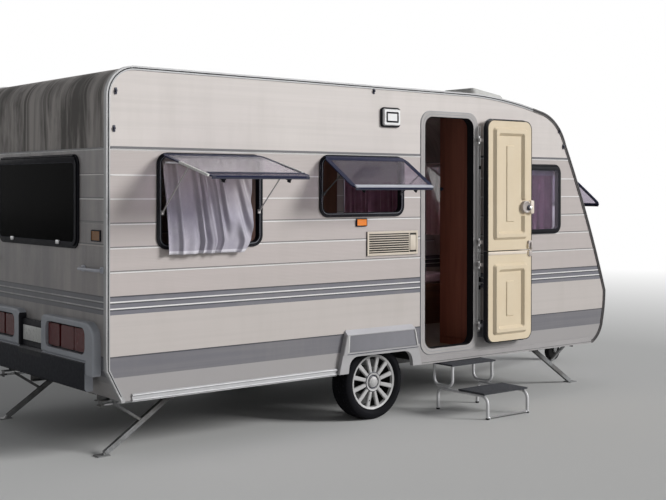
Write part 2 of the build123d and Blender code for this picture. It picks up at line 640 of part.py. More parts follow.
def opened(shape):
    turn = Pos(DOOR_HINGE_X, DOOR_HINGE_Y, 0) * Rot(0, 0, 180) * Pos(-DOOR_HINGE_X, -DOOR_HINGE_Y, 0)
    return turn * shape


# A raised ridge with sloping sides, running round a low field
def door_moulding(low_z, high_z):
    low_x = LEAF_LOW_X + RIDGE_SIDE
    high_x = LEAF_HIGH_X - RIDGE_SIDE
    crest_y = LEAF_IN_Y + RIDGE_HEIGHT
    ridge = tapered_xz(low_x, high_x, low_z, high_z, 30, LEAF_IN_Y, crest_y, RIDGE_HEIGHT)
    well = [low_x + RIDGE_WIDTH - RIDGE_HEIGHT, high_x - RIDGE_WIDTH + RIDGE_HEIGHT,
            low_z + RIDGE_WIDTH - RIDGE_HEIGHT, high_z - RIDGE_WIDTH + RIDGE_HEIGHT]
    ridge -= tapered_xz(*well, 24, crest_y, LEAF_IN_Y, RIDGE_HEIGHT)
    field = [low_x + RIDGE_WIDTH + FIELD_SIDE, high_x - RIDGE_WIDTH - FIELD_SIDE,
             low_z + RIDGE_WIDTH + FIELD_END, high_z - RIDGE_WIDTH - FIELD_END]
    return [ridge, tapered_xz(*field, 12, LEAF_IN_Y, LEAF_IN_Y + FIELD_HEIGHT, FIELD_HEIGHT)]


def hinge_knuckle(z):
    axis = (DOOR_HINGE_X, DOOR_HINGE_Y)
    knuckle = rod((*axis, z - KNUCKLE_HALF), (*axis, z + KNUCKLE_HALF), KNUCKLE_RADIUS)
    knuckle += block(DOOR_HINGE_X - 60, DOOR_HINGE_X, LEAF_OUT_Y - DOOR_LIP - 8, LEAF_OUT_Y - DOOR_LIP,
                     z - KNUCKLE_HALF, z + KNUCKLE_HALF)
    knuckle += block(DOOR_HINGE_X - 6, DOOR_HINGE_X + 6, DOOR_HINGE_Y, LEAF_OUT_Y - DOOR_LIP,
                     z - KNUCKLE_HALF, z + KNUCKLE_HALF)
    return knuckle - rod((*axis, z - 20), (*axis, z + 20), PIN_RADIUS + PIN_FIT)


# Fixed half of a hinge: the pin, and a barrel above and below the door's knuckle
def hinge_post(z):
    barrel = 17
    axis = (DOOR_HINGE_X, DOOR_HINGE_Y)
    post = rod((*axis, z - KNUCKLE_HALF - barrel - 1), (*axis, z + KNUCKLE_HALF + barrel + 1), PIN_RADIUS)
    for low in (z - KNUCKLE_HALF - barrel - 1, z + KNUCKLE_HALF + 1):
        post += rod((*axis, low), (*axis, low + barrel), KNUCKLE_RADIUS)
        post += block(DOOR_HINGE_X - 5, DOOR_HINGE_X + 5, DOOR_HINGE_Y, -HALF_WIDTH - DOOR_FRAME_PROUD, low, low + barrel)
    return post


leaf = plate_xz(rounded(LEAF_LOW_X, LEAF_HIGH_X, LEAF_LOW_Z, LEAF_HIGH_Z, LEAF_RADIUS), LEAF_OUT_Y, LEAF_IN_Y)
lip_face = inset(LEAF_LOW_X, LEAF_HIGH_X, LEAF_LOW_Z, LEAF_HIGH_Z, LEAF_RADIUS, -DOOR_LIP_LAP)
leaf += plate_xz(lip_face, LEAF_OUT_Y - DOOR_LIP, LEAF_OUT_Y)
lower_leaf = leaf & block(0, 2 * DOOR_HIGH_X, -2 * HALF_WIDTH, 0, 0, DOOR_SPLIT_Z - DOOR_SPLIT_GAP / 2)
upper_leaf = leaf & block(0, 2 * DOOR_HIGH_X, -2 * HALF_WIDTH, 0, DOOR_SPLIT_Z + DOOR_SPLIT_GAP / 2, ROOF_REAR_Z)
for piece in door_moulding(LEAF_LOW_Z + RIDGE_END, DOOR_SPLIT_Z - RIDGE_BELOW_SPLIT):
    lower_leaf += piece
lock_pad = block(LEAF_LOW_X, LEAF_LOW_X + LOCK_PAD, LEAF_IN_Y, LEAF_IN_Y + 2 * RIDGE_HEIGHT,
                 LOCK_Z - LOCK_PAD_HEIGHT / 2, LOCK_Z + LOCK_PAD_HEIGHT / 2)
for piece in door_moulding(DOOR_SPLIT_Z + RIDGE_ABOVE_SPLIT, LEAF_HIGH_Z - RIDGE_END):
    upper_leaf += piece - lock_pad
lock_case = plate_xz(rounded(LEAF_LOW_X + 4, LEAF_LOW_X + 4 + LOCK_LENGTH, LOCK_Z - LOCK_HEIGHT / 2,
                             LOCK_Z + LOCK_HEIGHT / 2, 16), LEAF_IN_Y, LEAF_IN_Y + LOCK_DEPTH)
lock_case = fillet(lock_case.faces().sort_by(Axis.Y)[-1].edges(), 7)
outer_handle = block(LEAF_LOW_X + 14, LEAF_LOW_X + 84, LEAF_OUT_Y - DOOR_LIP - 14, LEAF_OUT_Y - DOOR_LIP,
                     LOCK_Z - 40, LOCK_Z + 40)
upper_leaf += lock_case + outer_handle
catch = block(LEAF_LOW_X + 16, LEAF_LOW_X + 56, LEAF_IN_Y, LEAF_IN_Y + 12, DOOR_SPLIT_Z + 12, DOOR_SPLIT_Z + 52)
catch_plate = block(LEAF_LOW_X + 22, LEAF_LOW_X + 50, LEAF_IN_Y, LEAF_IN_Y + 6, DOOR_SPLIT_Z - 44, DOOR_SPLIT_Z - 12)
upper_leaf += catch
lower_leaf += catch_plate
for z in DOOR_HINGES_Z:
    if z < DOOR_SPLIT_Z:
        lower_leaf += hinge_knuckle(z)
    else:
        upper_leaf += hinge_knuckle(z)
save("door_hinge_plates", [hinge_post(z) for z in DOOR_HINGES_Z])
save("door_lower", opened(lower_leaf))
save("door_upper", opened(upper_leaf))


# Rear bumper: a low body, a centre panel for the plate, and a hoop round each lamp group
def lamp_hoop():
    legs_y = -HOOP_OUTER_Y + HOOP_LEG
    face = Polygon(
        (-HOOP_OUTER_Y, HOOP_FOOT_Z), (-HOOP_OUTER_Y, HOOP_TOP_Z), (-HOOP_INNER_Y, HOOP_TOP_Z),
        (-HOOP_INNER_Y, BUMPER_LEDGE_Z), (legs_y, BUMPER_LEDGE_Z), (legs_y, HOOP_FOOT_Z), align=None,
    )
    face = fillet(corner(face, -HOOP_OUTER_Y, HOOP_TOP_Z), 120)
    face = fillet(corner(face, -HOOP_INNER_Y, HOOP_TOP_Z), 50)
    face = fillet([corner(face, -HOOP_OUTER_Y, HOOP_FOOT_Z), corner(face, legs_y, HOOP_FOOT_Z)], 24)
    hoop = plate_yz(face, REAR_X - BUMPER_DEPTH, REAR_X)
    hoop = fillet(hoop.faces().sort_by(Axis.X)[0].edges(), 13)
    recess = rounded(legs_y, -HOOP_INNER_Y - 78, BUMPER_LEDGE_Z + 40, HOOP_TOP_Z - HOOP_BAR, 50)
    return hoop - plate_yz(recess, REAR_X - BUMPER_DEPTH - 1, REAR_X - BUMPER_DEPTH + RECESS_DEPTH)


body_half = HOOP_OUTER_Y - HOOP_LEG
bumper = block(REAR_X - BUMPER_DEPTH, REAR_X, -body_half, body_half, BUMPER_LOW_Z, BUMPER_LEDGE_Z)
bumper = chamfer(bumper.edges().filter_by(Axis.Y).group_by(Axis.X)[0], 16)
bumper += block(REAR_X - PLATE_PANEL_DEPTH, REAR_X, -PLATE_PANEL_HALF, PLATE_PANEL_HALF,
                BUMPER_LEDGE_Z - 10, BUMPER_LEDGE_Z + 190)
bumper += lamp_hoop()
bumper += left(lamp_hoop())
save("rear_bumper", bumper)

# Lamp lenses in each recess. Columns: low Y, width
LENSES = [(-HOOP_OUTER_Y + HOOP_LEG + 20, 160), (-HOOP_OUTER_Y + HOOP_LEG + 190, 190), (-HOOP_INNER_Y - 266, 172)]
LENS_DEPTH = 20
lens_back_x = REAR_X - BUMPER_DEPTH + RECESS_DEPTH
lamps = []
for low, width in LENSES:
    lens = rounded(low, low + width, BUMPER_LEDGE_Z + 52, HOOP_TOP_Z - HOOP_BAR - 14, 12)
    lamps += both_sides(plate_yz(lens, lens_back_x - LENS_DEPTH, lens_back_x))
save("rear_lamps", lamps)

# Side markers and rear reflectors, the awning lamp and the fridge vent
marker = block(MARKER_LOW_X, MARKER_HIGH_X, -HALF_WIDTH - 14, -HALF_WIDTH, MARKER_LOW_Z, MARKER_HIGH_Z)
marker = chamfer(marker.faces().sort_by(Axis.Y)[0].edges(), 5)
reflector = block(REAR_X - 8, REAR_X, -HALF_WIDTH + 84, -HALF_WIDTH + 204, SEAM_Z - 604, SEAM_Z - 534)
save("side_markers", both_sides(marker) + both_sides(reflector))

LAMP_LOW_X = DOOR_LOW_X - 460
LAMP_LENGTH = 182
LAMP_LOW_Z = ROOF_REAR_Z - 314
LAMP_HEIGHT = 140
awning_lamp = tapered_xz(LAMP_LOW_X, LAMP_LOW_X + LAMP_LENGTH, LAMP_LOW_Z, LAMP_LOW_Z + LAMP_HEIGHT, 22,
                         -HALF_WIDTH, -HALF_WIDTH - 34, 12)
save("awning_lamp", awning_lamp)

VENT_DEPTH = 12
LOUVRE_PITCH = 15
LOUVRES = 10
vent = block(VENT_LOW_X, VENT_HIGH_X, -HALF_WIDTH - VENT_DEPTH, -HALF_WIDTH, VENT_LOW_Z, VENT_HIGH_Z)
for louvre in range(LOUVRES):
    z = VENT_LOW_Z + 19 + louvre * LOUVRE_PITCH
    vent -= block(VENT_LOW_X + 18, VENT_LOW_X + 253, -HALF_WIDTH - VENT_DEPTH - 1, -HALF_WIDTH - 6, z, z + 6)
save("vent_grilles", vent)

# Grab handles on the rear corners
GRAB_Z = SEAM_Z - 790
GRAB_RADIUS = 11
GRAB_OUT = 45
grabs = []
for side in (-1, 1):
    outer_y = side * (HALF_WIDTH - 59)
    inner_y = side * (HALF_WIDTH - 323)
    grab = bent_tube([(REAR_X, outer_y, GRAB_Z), (REAR_X - GRAB_OUT, outer_y, GRAB_Z),
                      (REAR_X - GRAB_OUT, inner_y, GRAB_Z), (REAR_X, inner_y, GRAB_Z)], 20, GRAB_RADIUS)
    for y in (outer_y, inner_y):
        grab += rod((REAR_X, y, GRAB_Z), (REAR_X - 8, y, GRAB_Z), 2 * GRAB_RADIUS)
    grabs.append(grab)
save("grab_handles", grabs)

# Locker lid over the foot of the front wall, hinged along its top edge
lid_zone = (KINK_X - 232, KINK_X + 60, -HALF_WIDTH, HALF_WIDTH)
lid_hinge_x = KINK_X + LID_INNER
lid_hinge_z = LOCKER_TOP_Z - 2
lid = band(LID_INNER, LID_OUTER, -LOCKER_HALF_WIDTH, LOCKER_HALF_WIDTH)
lid_rim = band(LID_INNER - 20, LID_INNER + 0.5, -LOCKER_HALF_WIDTH, -LOCKER_HALF_WIDTH + 10)
lid = (lid + lid_rim + left(lid_rim)) & block(*lid_zone, LOCKER_BOTTOM_Z, LOCKER_TOP_Z - 8)
lid += rod((lid_hinge_x, -LOCKER_HALF_WIDTH, lid_hinge_z), (lid_hinge_x, LOCKER_HALF_WIDTH, lid_hinge_z), LID_HINGE_RADIUS)
lid += block(lid_hinge_x, lid_hinge_x + 10, -LOCKER_HALF_WIDTH, LOCKER_HALF_WIDTH, lid_hinge_z - 14, lid_hinge_z)
save("locker_lid", largest(lid))
valance = band(SKIN_GAP, LID_OUTER, -LOCKER_HALF_WIDTH, LOCKER_HALF_WIDTH)
save("front_valance", largest(valance & block(*lid_zone, SIDE_BOTTOM, LOCKER_BOTTOM_Z - 6)))
hinge_rail = band(SKIN_GAP, 30, -LOCKER_HALF_WIDTH + 12, LOCKER_HALF_WIDTH - 12)
hinge_rail &= block(KINK_X - 232, lid_hinge_x - 3, -HALF_WIDTH, HALF_WIDTH, LOCKER_TOP_Z - 7, LOCKER_TOP_Z + 16)
hinge_rail -= rod((lid_hinge_x, -HALF_WIDTH, lid_hinge_z), (lid_hinge_x, HALF_WIDTH, lid_hinge_z),
                  LID_HINGE_RADIUS + SKIN_GAP)
save("alloy_rails", skirts + [largest(hinge_rail)])
locker_back_x = KINK_X - 372
bulkhead = block(locker_back_x, locker_back_x + 12, -INNER_Y, INNER_Y, FLOOR_TOP, LOCKER_TOP_Z - 20)
bulkhead += block(locker_back_x, KINK_X - 72, -INNER_Y, INNER_Y, LOCKER_TOP_Z - 32, LOCKER_TOP_Z - 20)
save("locker_bulkhead", bulkhead)


# Chassis rails, cross members and drawbar
def channel(start, end, height, width, gauge, open_side):
    direction = Vector(*end) - Vector(*start)
    section = Rectangle(width, height) - Pos(open_side * gauge, 0) * Rectangle(width, height - 2 * gauge)
    plane = Plane(origin=start, x_dir=direction.cross(Vector(0, 0, 1)), z_dir=direction)
    return extrude(plane * section, amount=direction.length)


rail_mid_z = RAIL_TOP - RAIL_HEIGHT / 2
chassis_rail = channel((RAIL_REAR_X, -RAIL_Y, rail_mid_z), (DRAWBAR_START_X, -RAIL_Y, rail_mid_z),
                       RAIL_HEIGHT, RAIL_WIDTH, RAIL_GAUGE, -1)
arm_low_z = DRAWBAR_TOP - DRAWBAR_HEIGHT
splice = block(DRAWBAR_START_X - 100, DRAWBAR_START_X + 120, -RAIL_Y - 30, -RAIL_Y + 60,
               arm_low_z - SPLICE_THICKNESS, arm_low_z)
splice += block(DRAWBAR_START_X - 100, DRAWBAR_START_X, -RAIL_Y - RAIL_WIDTH / 2, -RAIL_Y + RAIL_WIDTH / 2,
                arm_low_z, RAIL_TOP - RAIL_HEIGHT)
save("chassis_rails", both_sides(chassis_rail + splice))
arm_mid_z = DRAWBAR_TOP - DRAWBAR_HEIGHT / 2
arm_start = Vector(DRAWBAR_START_X + 5.3, -RAIL_Y, arm_mid_z)
arm_end = Vector(DRAWBAR_END_X, -DRAWBAR_END_Y, arm_mid_z)
save("drawbar_arms", both_sides(channel(arm_start, arm_end, DRAWBAR_HEIGHT, RAIL_WIDTH, RAIL_GAUGE, -1)))
member_y = RAIL_Y - RAIL_WIDTH / 2
members = []
for x in (RAIL_REAR_X + 30, -WHEEL_RADIUS - 412, WHEEL_RADIUS + 612):
    member = block(x - 20, x + 20, -member_y, member_y, RAIL_TOP - MEMBER_HEIGHT, RAIL_TOP)
    member -= block(x - 20 + MEMBER_GAUGE, x + 30, -member_y - 1, member_y + 1,
                    RAIL_TOP - MEMBER_HEIGHT + MEMBER_GAUGE, RAIL_TOP - MEMBER_GAUGE)
    members.append(member)
save("cross_members", members)

# Coupling head on its overrun tube, and the handbrake lever
housing_x = DRAWBAR_END_X - 280
coupling = block(housing_x, DRAWBAR_END_X + 40, -28, 28, DRAWBAR_TOP, BALL_Z + 15)
coupling += block(housing_x + 80, DRAWBAR_END_X - 15, -95, 95, DRAWBAR_TOP, DRAWBAR_TOP + 10)
coupling += rod((housing_x + 80, 0, BALL_Z), (BALL_X - 60, 0, BALL_Z), 30)
coupling += Pos(BALL_X, 0, BALL_Z + 8) * Sphere(COUPLING_RADIUS)
coupling += block(BALL_X - 70, BALL_X, -30, 30, BALL_Z - 10, BALL_Z + 48)
coupling -= block(BALL_X - 100, BALL_X + 100, -100, 100, BALL_Z - 130, BALL_Z - 22)
coupling -= Pos(BALL_X, 0, BALL_Z) * Sphere(BALL_RADIUS)
coupling -= rod((BALL_X, 0, BALL_Z - 60), (BALL_X, 0, BALL_Z), BALL_RADIUS)
coupling += rod((BALL_X - 10, 0, BALL_Z + 40), (BALL_X - 150, 0, BALL_Z + 95), 11)
save("coupling_head", coupling)
lever_x = housing_x + 40
lever = block(lever_x - 20, lever_x + 20, -12, 12, BALL_Z + 15, BALL_Z + 60)
lever += rod((lever_x, 0, BALL_Z + 50), (lever_x - 100, 0, BALL_Z + 340), 9)
lever += rod((lever_x - 72, 0, BALL_Z + 260), (lever_x - 100, 0, BALL_Z + 340), 14)
save("handbrake_lever", lever)

# Axle with trailing arms and stub shafts
axle_half = SWING_ARM_Y - 15
axle = rod((AXLE_X, -axle_half, AXLE_Z), (AXLE_X, axle_half, AXLE_Z), AXLE_RADIUS)
for side in (-1, 1):
    arm_y = side * SWING_ARM_Y
    axle += block(-30, AXLE_X + 40, arm_y - 15, arm_y + 15, AXLE_Z - 40, AXLE_Z + 30)
    axle += rod((0, arm_y, WHEEL_RADIUS), (0, arm_y + side * 125, WHEEL_RADIUS), STUB_RADIUS)
    axle += block(AXLE_X - 60, AXLE_X + 60, side * RAIL_Y - 22, side * RAIL_Y + 22, AXLE_Z - 10, RAIL_TOP - RAIL_HEIGHT)
save("axle", axle)


# Wheels, revolved about the axle line. Columns of each section: radius, distance along the axle
def turned(face):
    return Pos(0, -WHEEL_Y, WHEEL_RADIUS) * revolve(Plane.XY * face, axis=Axis.Y)


half = WHEEL_WIDTH / 2
bead_half = half - 18
tyre_face = Polygon(
    (RIM_RADIUS + 2, -bead_half), (RIM_RADIUS + 30, -half), (WHEEL_RADIUS - 26, -half + 2),
    (WHEEL_RADIUS - 6, -bead_half), (WHEEL_RADIUS, -bead_half + 14), (WHEEL_RADIUS, bead_half - 14),
    (WHEEL_RADIUS - 6, bead_half), (WHEEL_RADIUS - 26, half - 2), (RIM_RADIUS + 30, half),
    (RIM_RADIUS + 2, bead_half), align=None,
)
tyre = turned(tyre_face)
save("tyre_right", tyre)
save("tyre_left", left(tyre))
HUB_RADIUS = 78
CAP_RADIUS = 46
SPOKE_HALF_IN = 14
SPOKE_HALF_OUT = 18
barrel_face = Polygon(
    (RIM_RADIUS, -bead_half), (RIM_RADIUS + 1.5, -bead_half), (RIM_RADIUS + 1.5, bead_half), (RIM_RADIUS, bead_half),
    (RIM_RADIUS - 14, bead_half - 4), (RIM_RADIUS - 22, bead_half - 40), (RIM_RADIUS - 22, -bead_half + 40),
    (RIM_RADIUS - 14, -bead_half + 4), align=None,
)
hub_face = Polygon(
    (STUB_RADIUS + PIN_FIT, -62), (CAP_RADIUS + 6, -62), (CAP_RADIUS + 11, -76), (HUB_RADIUS - 7, -78),
    (HUB_RADIUS, -70), (HUB_RADIUS, 20), (HUB_RADIUS + 34, 24), (HUB_RADIUS + 34, 60), (STUB_RADIUS + PIN_FIT, 60),
    align=None,
)
cap_face = Polygon((0, -89), (22, -87), (CAP_RADIUS - 6, -80), (CAP_RADIUS, -62), (0, -62), align=None)
rim = turned(barrel_face) + turned(hub_face) + turned(cap_face)
spoke_face = Polygon((HUB_RADIUS - 8, -SPOKE_HALF_IN), (RIM_RADIUS - 8, -SPOKE_HALF_OUT),
                     (RIM_RADIUS - 8, SPOKE_HALF_OUT), (HUB_RADIUS - 8, SPOKE_HALF_IN), align=None)
spoke = plate_xz(spoke_face, -74, -56)
spoke = chamfer(spoke.faces().sort_by(Axis.Y)[0].edges().filter_by(Axis.Z, reverse=True), 5)
for step in range(SPOKES):
    turn = Rot(0, (step + 0.5) * 360 / SPOKES, 0)
    rim += Pos(0, -WHEEL_Y, WHEEL_RADIUS) * turn * spoke
save("rim_right", rim)
save("rim_left", left(rim))

# Jockey wheel: clamped outer tube with its crank, sliding leg, swivelling fork, wheel.
# Worked out beside the right drawbar arm, then mirrored to the left one, which carries it
jockey = (JOCKEY_X, JOCKEY_Y)
crank_z = JOCKEY_TUBE_HIGH_Z + 35
clamp = rod((*jockey, JOCKEY_TUBE_LOW_Z), (*jockey, JOCKEY_TUBE_HIGH_Z), JOCKEY_TUBE_RADIUS)
clamp -= rod((*jockey, JOCKEY_TUBE_LOW_Z - 10), (*jockey, JOCKEY_TUBE_HIGH_Z - 5), JOCKEY_TUBE_RADIUS - JOCKEY_TUBE_WALL)
clamp += rod((*jockey, JOCKEY_TUBE_HIGH_Z - 5), (*jockey, crank_z), 8)
clamp += rod((JOCKEY_X - JOCKEY_CRANK, JOCKEY_Y, crank_z), (JOCKEY_X + 12, JOCKEY_Y, crank_z), 6)
clamp += rod((JOCKEY_X - JOCKEY_CRANK, JOCKEY_Y, crank_z - 5), (JOCKEY_X - JOCKEY_CRANK, JOCKEY_Y, crank_z + 55), 11)
arm_run = arm_end - arm_start
arm_y = arm_start.Y + arm_run.Y * (JOCKEY_X - arm_start.X) / arm_run.X
bracket = block(JOCKEY_X - 35, JOCKEY_X + 35, JOCKEY_Y, arm_y, DRAWBAR_TOP - 50, DRAWBAR_TOP - 7)
arm_plane = Plane(origin=arm_start, x_dir=arm_run.cross(Vector(0, 0, 1)), z_dir=arm_run)
bracket -= extrude(arm_plane * Rectangle(RAIL_WIDTH + 2 * SKIN_GAP, 2 * DRAWBAR_HEIGHT), amount=arm_run.length)
bracket = bracket.solids().sort_by(Axis.Y)[0]
bracket -= rod((*jockey, JOCKEY_TUBE_LOW_Z - 10), (*jockey, JOCKEY_TUBE_HIGH_Z - 5), JOCKEY_TUBE_RADIUS - 1)
save("jockey_clamp", left(clamp + bracket))
swivel_z = 2 * JOCKEY_WHEEL_RADIUS + 32
jockey_leg = rod((*jockey, swivel_z + 12), (*jockey, JOCKEY_LEG_HIGH_Z), JOCKEY_TUBE_RADIUS - JOCKEY_TUBE_WALL - 1)
jockey_leg -= rod((*jockey, swivel_z), (*jockey, swivel_z + 60), JOCKEY_SWIVEL_RADIUS + 0.1)
save("jockey_leg", left(jockey_leg))
wheel_x = JOCKEY_X - JOCKEY_TRAIL
cheek_y = JOCKEY_WHEEL_WIDTH / 2 + 10
fork = rod((*jockey, swivel_z - 2), (*jockey, swivel_z + 56), JOCKEY_SWIVEL_RADIUS)
fork += block(wheel_x - 25, JOCKEY_X + 25, JOCKEY_Y - cheek_y - 2, JOCKEY_Y + cheek_y + 2, swivel_z - 6, swivel_z + 10)
cheek = Polygon(
    (wheel_x - 18, JOCKEY_WHEEL_RADIUS - 8), (wheel_x + 18, JOCKEY_WHEEL_RADIUS - 8),
    (JOCKEY_X + 25, swivel_z), (wheel_x - 25, swivel_z), align=None,
)
for y in (JOCKEY_Y - cheek_y, JOCKEY_Y + cheek_y):
    fork += plate_xz(cheek, y - 2, y + 2)
fork += rod((wheel_x, JOCKEY_Y - cheek_y - 8, JOCKEY_WHEEL_RADIUS), (wheel_x, JOCKEY_Y + cheek_y + 8, JOCKEY_WHEEL_RADIUS),
            JOCKEY_AXLE_RADIUS)
save("jockey_fork", left(fork))
wheel_ends = [(wheel_x, JOCKEY_Y + side * JOCKEY_WHEEL_WIDTH / 2, JOCKEY_WHEEL_RADIUS) for side in (-1, 1)]
jockey_wheel = rod(*wheel_ends, JOCKEY_WHEEL_RADIUS)
jockey_wheel = fillet(jockey_wheel.edges().filter_by(GeomType.CIRCLE), 12)
bore_ends = [(wheel_x, JOCKEY_Y + side * JOCKEY_WHEEL_WIDTH, JOCKEY_WHEEL_RADIUS) for side in (-1, 1)]
save("jockey_wheel", left(jockey_wheel - rod(*bore_ends, JOCKEY_AXLE_RADIUS + PIN_FIT)))

# Corner steadies. Built for the front right corner from its pivot, then mirrored and placed
DOWN = atan2(STEADY_PIVOT_Z, STEADY_REACH)
LEG_LENGTH = hypot(STEADY_PIVOT_Z, STEADY_REACH)
LEG_HALF = 16
LEG_GAUGE = 3
BRACE_HALF = 11.5
SPINDLE_RADIUS = 7
SPINDLE_END = STEADY_REACH + 33


# X and Z of a point on the leg, from its distance down the leg and its height above the centre line
def along(distance, rise):
    return distance * cos(DOWN) + rise * sin(DOWN), -distance * sin(DOWN) + rise * cos(DOWN)


def leg_plate(low, high, bottom, top, y0, y1):
    face = Polygon(along(low, bottom), along(low, top), along(high, top), along(high, bottom), align=None)
    return plate_xz(face, y0, y1)


def steady_leg():
    low = LEG_LENGTH - 30
    leg = leg_plate(-14, low, -18, 16, -LEG_HALF, -LEG_HALF + LEG_GAUGE)
    leg += leg_plate(-14, low, -18, 16, LEG_HALF - LEG_GAUGE, LEG_HALF)
    leg += leg_plate(30, low, -18, -18 + LEG_GAUGE, -LEG_HALF, LEG_HALF)
    leg += leg_plate(LEG_LENGTH - 90, LEG_LENGTH - 16, -16, 8, -LEG_HALF + LEG_GAUGE, LEG_HALF - LEG_GAUGE)
    leg += block(STEADY_REACH - 50, STEADY_REACH + 40, -38, 38, -STEADY_PIVOT_Z, -STEADY_PIVOT_Z + 8)
    leg += rod((0, -27, 0), (0, 27, 0), STEADY_PIN_RADIUS)
    elbow_x, elbow_z = along(STEADY_ELBOW, 0)
    return leg + rod((elbow_x, -19, elbow_z), (elbow_x, 19, elbow_z), STEADY_PIN_RADIUS)


def steady_brace():
    elbow_x, elbow_z = along(STEADY_ELBOW, 0)
    top_x = 2 * STEADY_ELBOW * cos(DOWN)
    run = Vector(top_x - elbow_x, -elbow_z).normalized()
    bar = Pos(elbow_x, elbow_z) * Rot(0, 0, degrees(atan2(run.Y, run.X)))
    length = hypot(top_x - elbow_x, elbow_z)
    face = bar * (Pos((length + 3) / 2, 0) * Rectangle(length + 21, 18))
    hole = Pos(elbow_x, elbow_z) * Circle(STEADY_PIN_RADIUS + PIN_FIT)
    brace = plate_xz(face - hole, -BRACE_HALF, -BRACE_HALF + LEG_GAUGE)
    brace += plate_xz(face - hole, BRACE_HALF - LEG_GAUGE, BRACE_HALF)
    ring = Pos(elbow_x, elbow_z) * Circle(STEADY_PIN_RADIUS + 4) - hole
    return brace + plate_xz(ring, -9, 9)


def steady_bracket():
    outer = STEADY_REACH + 11
    shape = block(-60, outer, -30, 30, 25, 31)
    for side in (-1, 1):
        shape += block(-60, outer - 60, side * 28 - 2, side * 28 + 2, 31, RAIL_TOP - STEADY_PIVOT_Z)
        ear = block(-30, 30, side * 24.5 - 2.5, side * 24.5 + 2.5, -16, 25)
        shape += ear - rod((0, -40, 0), (0, 40, 0), STEADY_PIN_RADIUS + PIN_FIT)
    shape += block(outer - 6, outer, -20, 20, -16, 25)
    shape += rod((36, 0, 0), (SPINDLE_END, 0, 0), SPINDLE_RADIUS)
    return shape + block(34, 40, -12, 12, -12, 25)


# Columns: corner, 1 at the front or -1 at the rear, 1 at the left or -1 at the right
CORNERS = [
    ("front_right", 1, -1), ("front_left", 1, 1), ("rear_right", -1, -1), ("rear_left", -1, 1),
]
brackets = []
for name, forward, side in CORNERS:
    place = Pos(STEADY_FRONT_X if forward > 0 else STEADY_REAR_X, side * STEADY_Y, STEADY_PIVOT_Z)
    shapes = [steady_leg(), steady_brace(), steady_bracket()]
    if forward < 0:
        shapes = [mirror(shape, about=Plane.YZ) for shape in shapes]
    steady, brace, bracket = [place * shape for shape in shapes]
    save("steady_leg_" + name, steady)
    save("steady_brace_" + name, brace)
    brackets.append(bracket)
save("steady_brackets", brackets)

# Free-standing double step: a low hoop with its legs down and a high hoop standing on it, each side
step = []
for x in (STEP_LOW_X, STEP_HIGH_X):
    low_hoop = bent_tube([(x, STEP_REAR_Y, 0), (x, STEP_REAR_Y, STEP_LOW_Z), (x, STEP_FRONT_Y, STEP_LOW_Z),
                          (x, STEP_FRONT_Y, 0)], STEP_BEND, STEP_TUBE)
    seat_z = STEP_LOW_Z + 2 * STEP_TUBE - 2
    high_hoop = bent_tube([(x, UPPER_HOOP_REAR_Y, STEP_HIGH_Z - STEP_TREAD), (x, UPPER_HOOP_REAR_Y, seat_z),
                           (x, UPPER_HOOP_FRONT_Y, seat_z), (x, UPPER_HOOP_FRONT_Y, STEP_HIGH_Z - STEP_TREAD)],
                          STEP_BEND, STEP_TUBE)
    step.append(low_hoop + high_hoop)
step_frame = step[0] + step[1]
for y, z in ((STEP_FRONT_Y, STEP_TUBE), (STEP_REAR_Y - 280, STEP_LOW_Z), (STEP_REAR_Y - 450, STEP_LOW_Z)):
    step_frame += rod((STEP_LOW_X, y, z), (STEP_HIGH_X, y, z), STEP_TUBE - 2)
save("step_frame", step_frame)
# Columns: low Y, high Y, top Z
TREADS = [
    (STEP_REAR_Y - 533, STEP_REAR_Y - 253, STEP_LOW_Z + STEP_TUBE + STEP_TREAD),
    (UPPER_HOOP_FRONT_Y - 22, UPPER_HOOP_REAR_Y + 22, STEP_HIGH_Z),
]
treads = [block(STEP_LOW_X - 22, STEP_HIGH_X + 22, low, high, top - STEP_TREAD, top) for low, high, top in TREADS]
save("step_treads", treads)


# Furniture that shows through the doorway and the windows, open below
def carcass(x0, x1, y0, y1, z0, z1):
    return block(x0, x1, y0, y1, z0, z1) - block(x0 + BOARD, x1 - BOARD, y0 + BOARD, y1 - BOARD, z0 - 1, z1 - BOARD)


TALL_Y = HALF_WIDTH - 437
LEFT_UNIT_Y = 330
KITCHEN_TOP = FLOOR_TOP + 895
KITCHEN_Y = HALF_WIDTH - 570
BENCH_Y = 450
well_cut_x = HOUSING_X + 6
well_cut_z = HOUSING_Z + 6
right_well = block(-well_cut_x, well_cut_x, -INNER_Y - 1, -HOUSING_Y + 6, FLOOR_TOP - 1, well_cut_z)
tall_right = carcass(DOOR_HIGH_X + 46, DOOR_HIGH_X + 266, -INNER_Y, -TALL_Y, FLOOR_TOP, ROOF_REAR_Z - 134)
tall_left = carcass(DOOR_LOW_X - 1078, DOOR_LOW_X + 222, LEFT_UNIT_Y, INNER_Y, FLOOR_TOP, ROOF_REAR_Z - 74)
save("wardrobe", [tall_right, tall_left - left(right_well)])
kitchen = carcass(DOOR_LOW_X - 1078, DOOR_LOW_X - 38, -INNER_Y, -KITCHEN_Y, FLOOR_TOP, KITCHEN_TOP)
save("kitchen_unit", kitchen - right_well)
# Columns: low X, high X
BENCHES = [(REAR_X + 115, DOOR_LOW_X - 1478), (DOOR_HIGH_X + 276, KINK_X - 402)]
seats = []
pads = []
for low, high in BENCHES:
    seats += both_sides(carcass(low, high, -INNER_Y, -AISLE_HALF, FLOOR_TOP, SEAT_TOP))
    pads += both_sides(block(low + 5, high - 5, -INNER_Y + 5, -AISLE_HALF - 5, SEAT_TOP + SKIN_GAP, SEAT_TOP + CUSHION))
save("seat_boxes", seats)
save("cushions", pads)

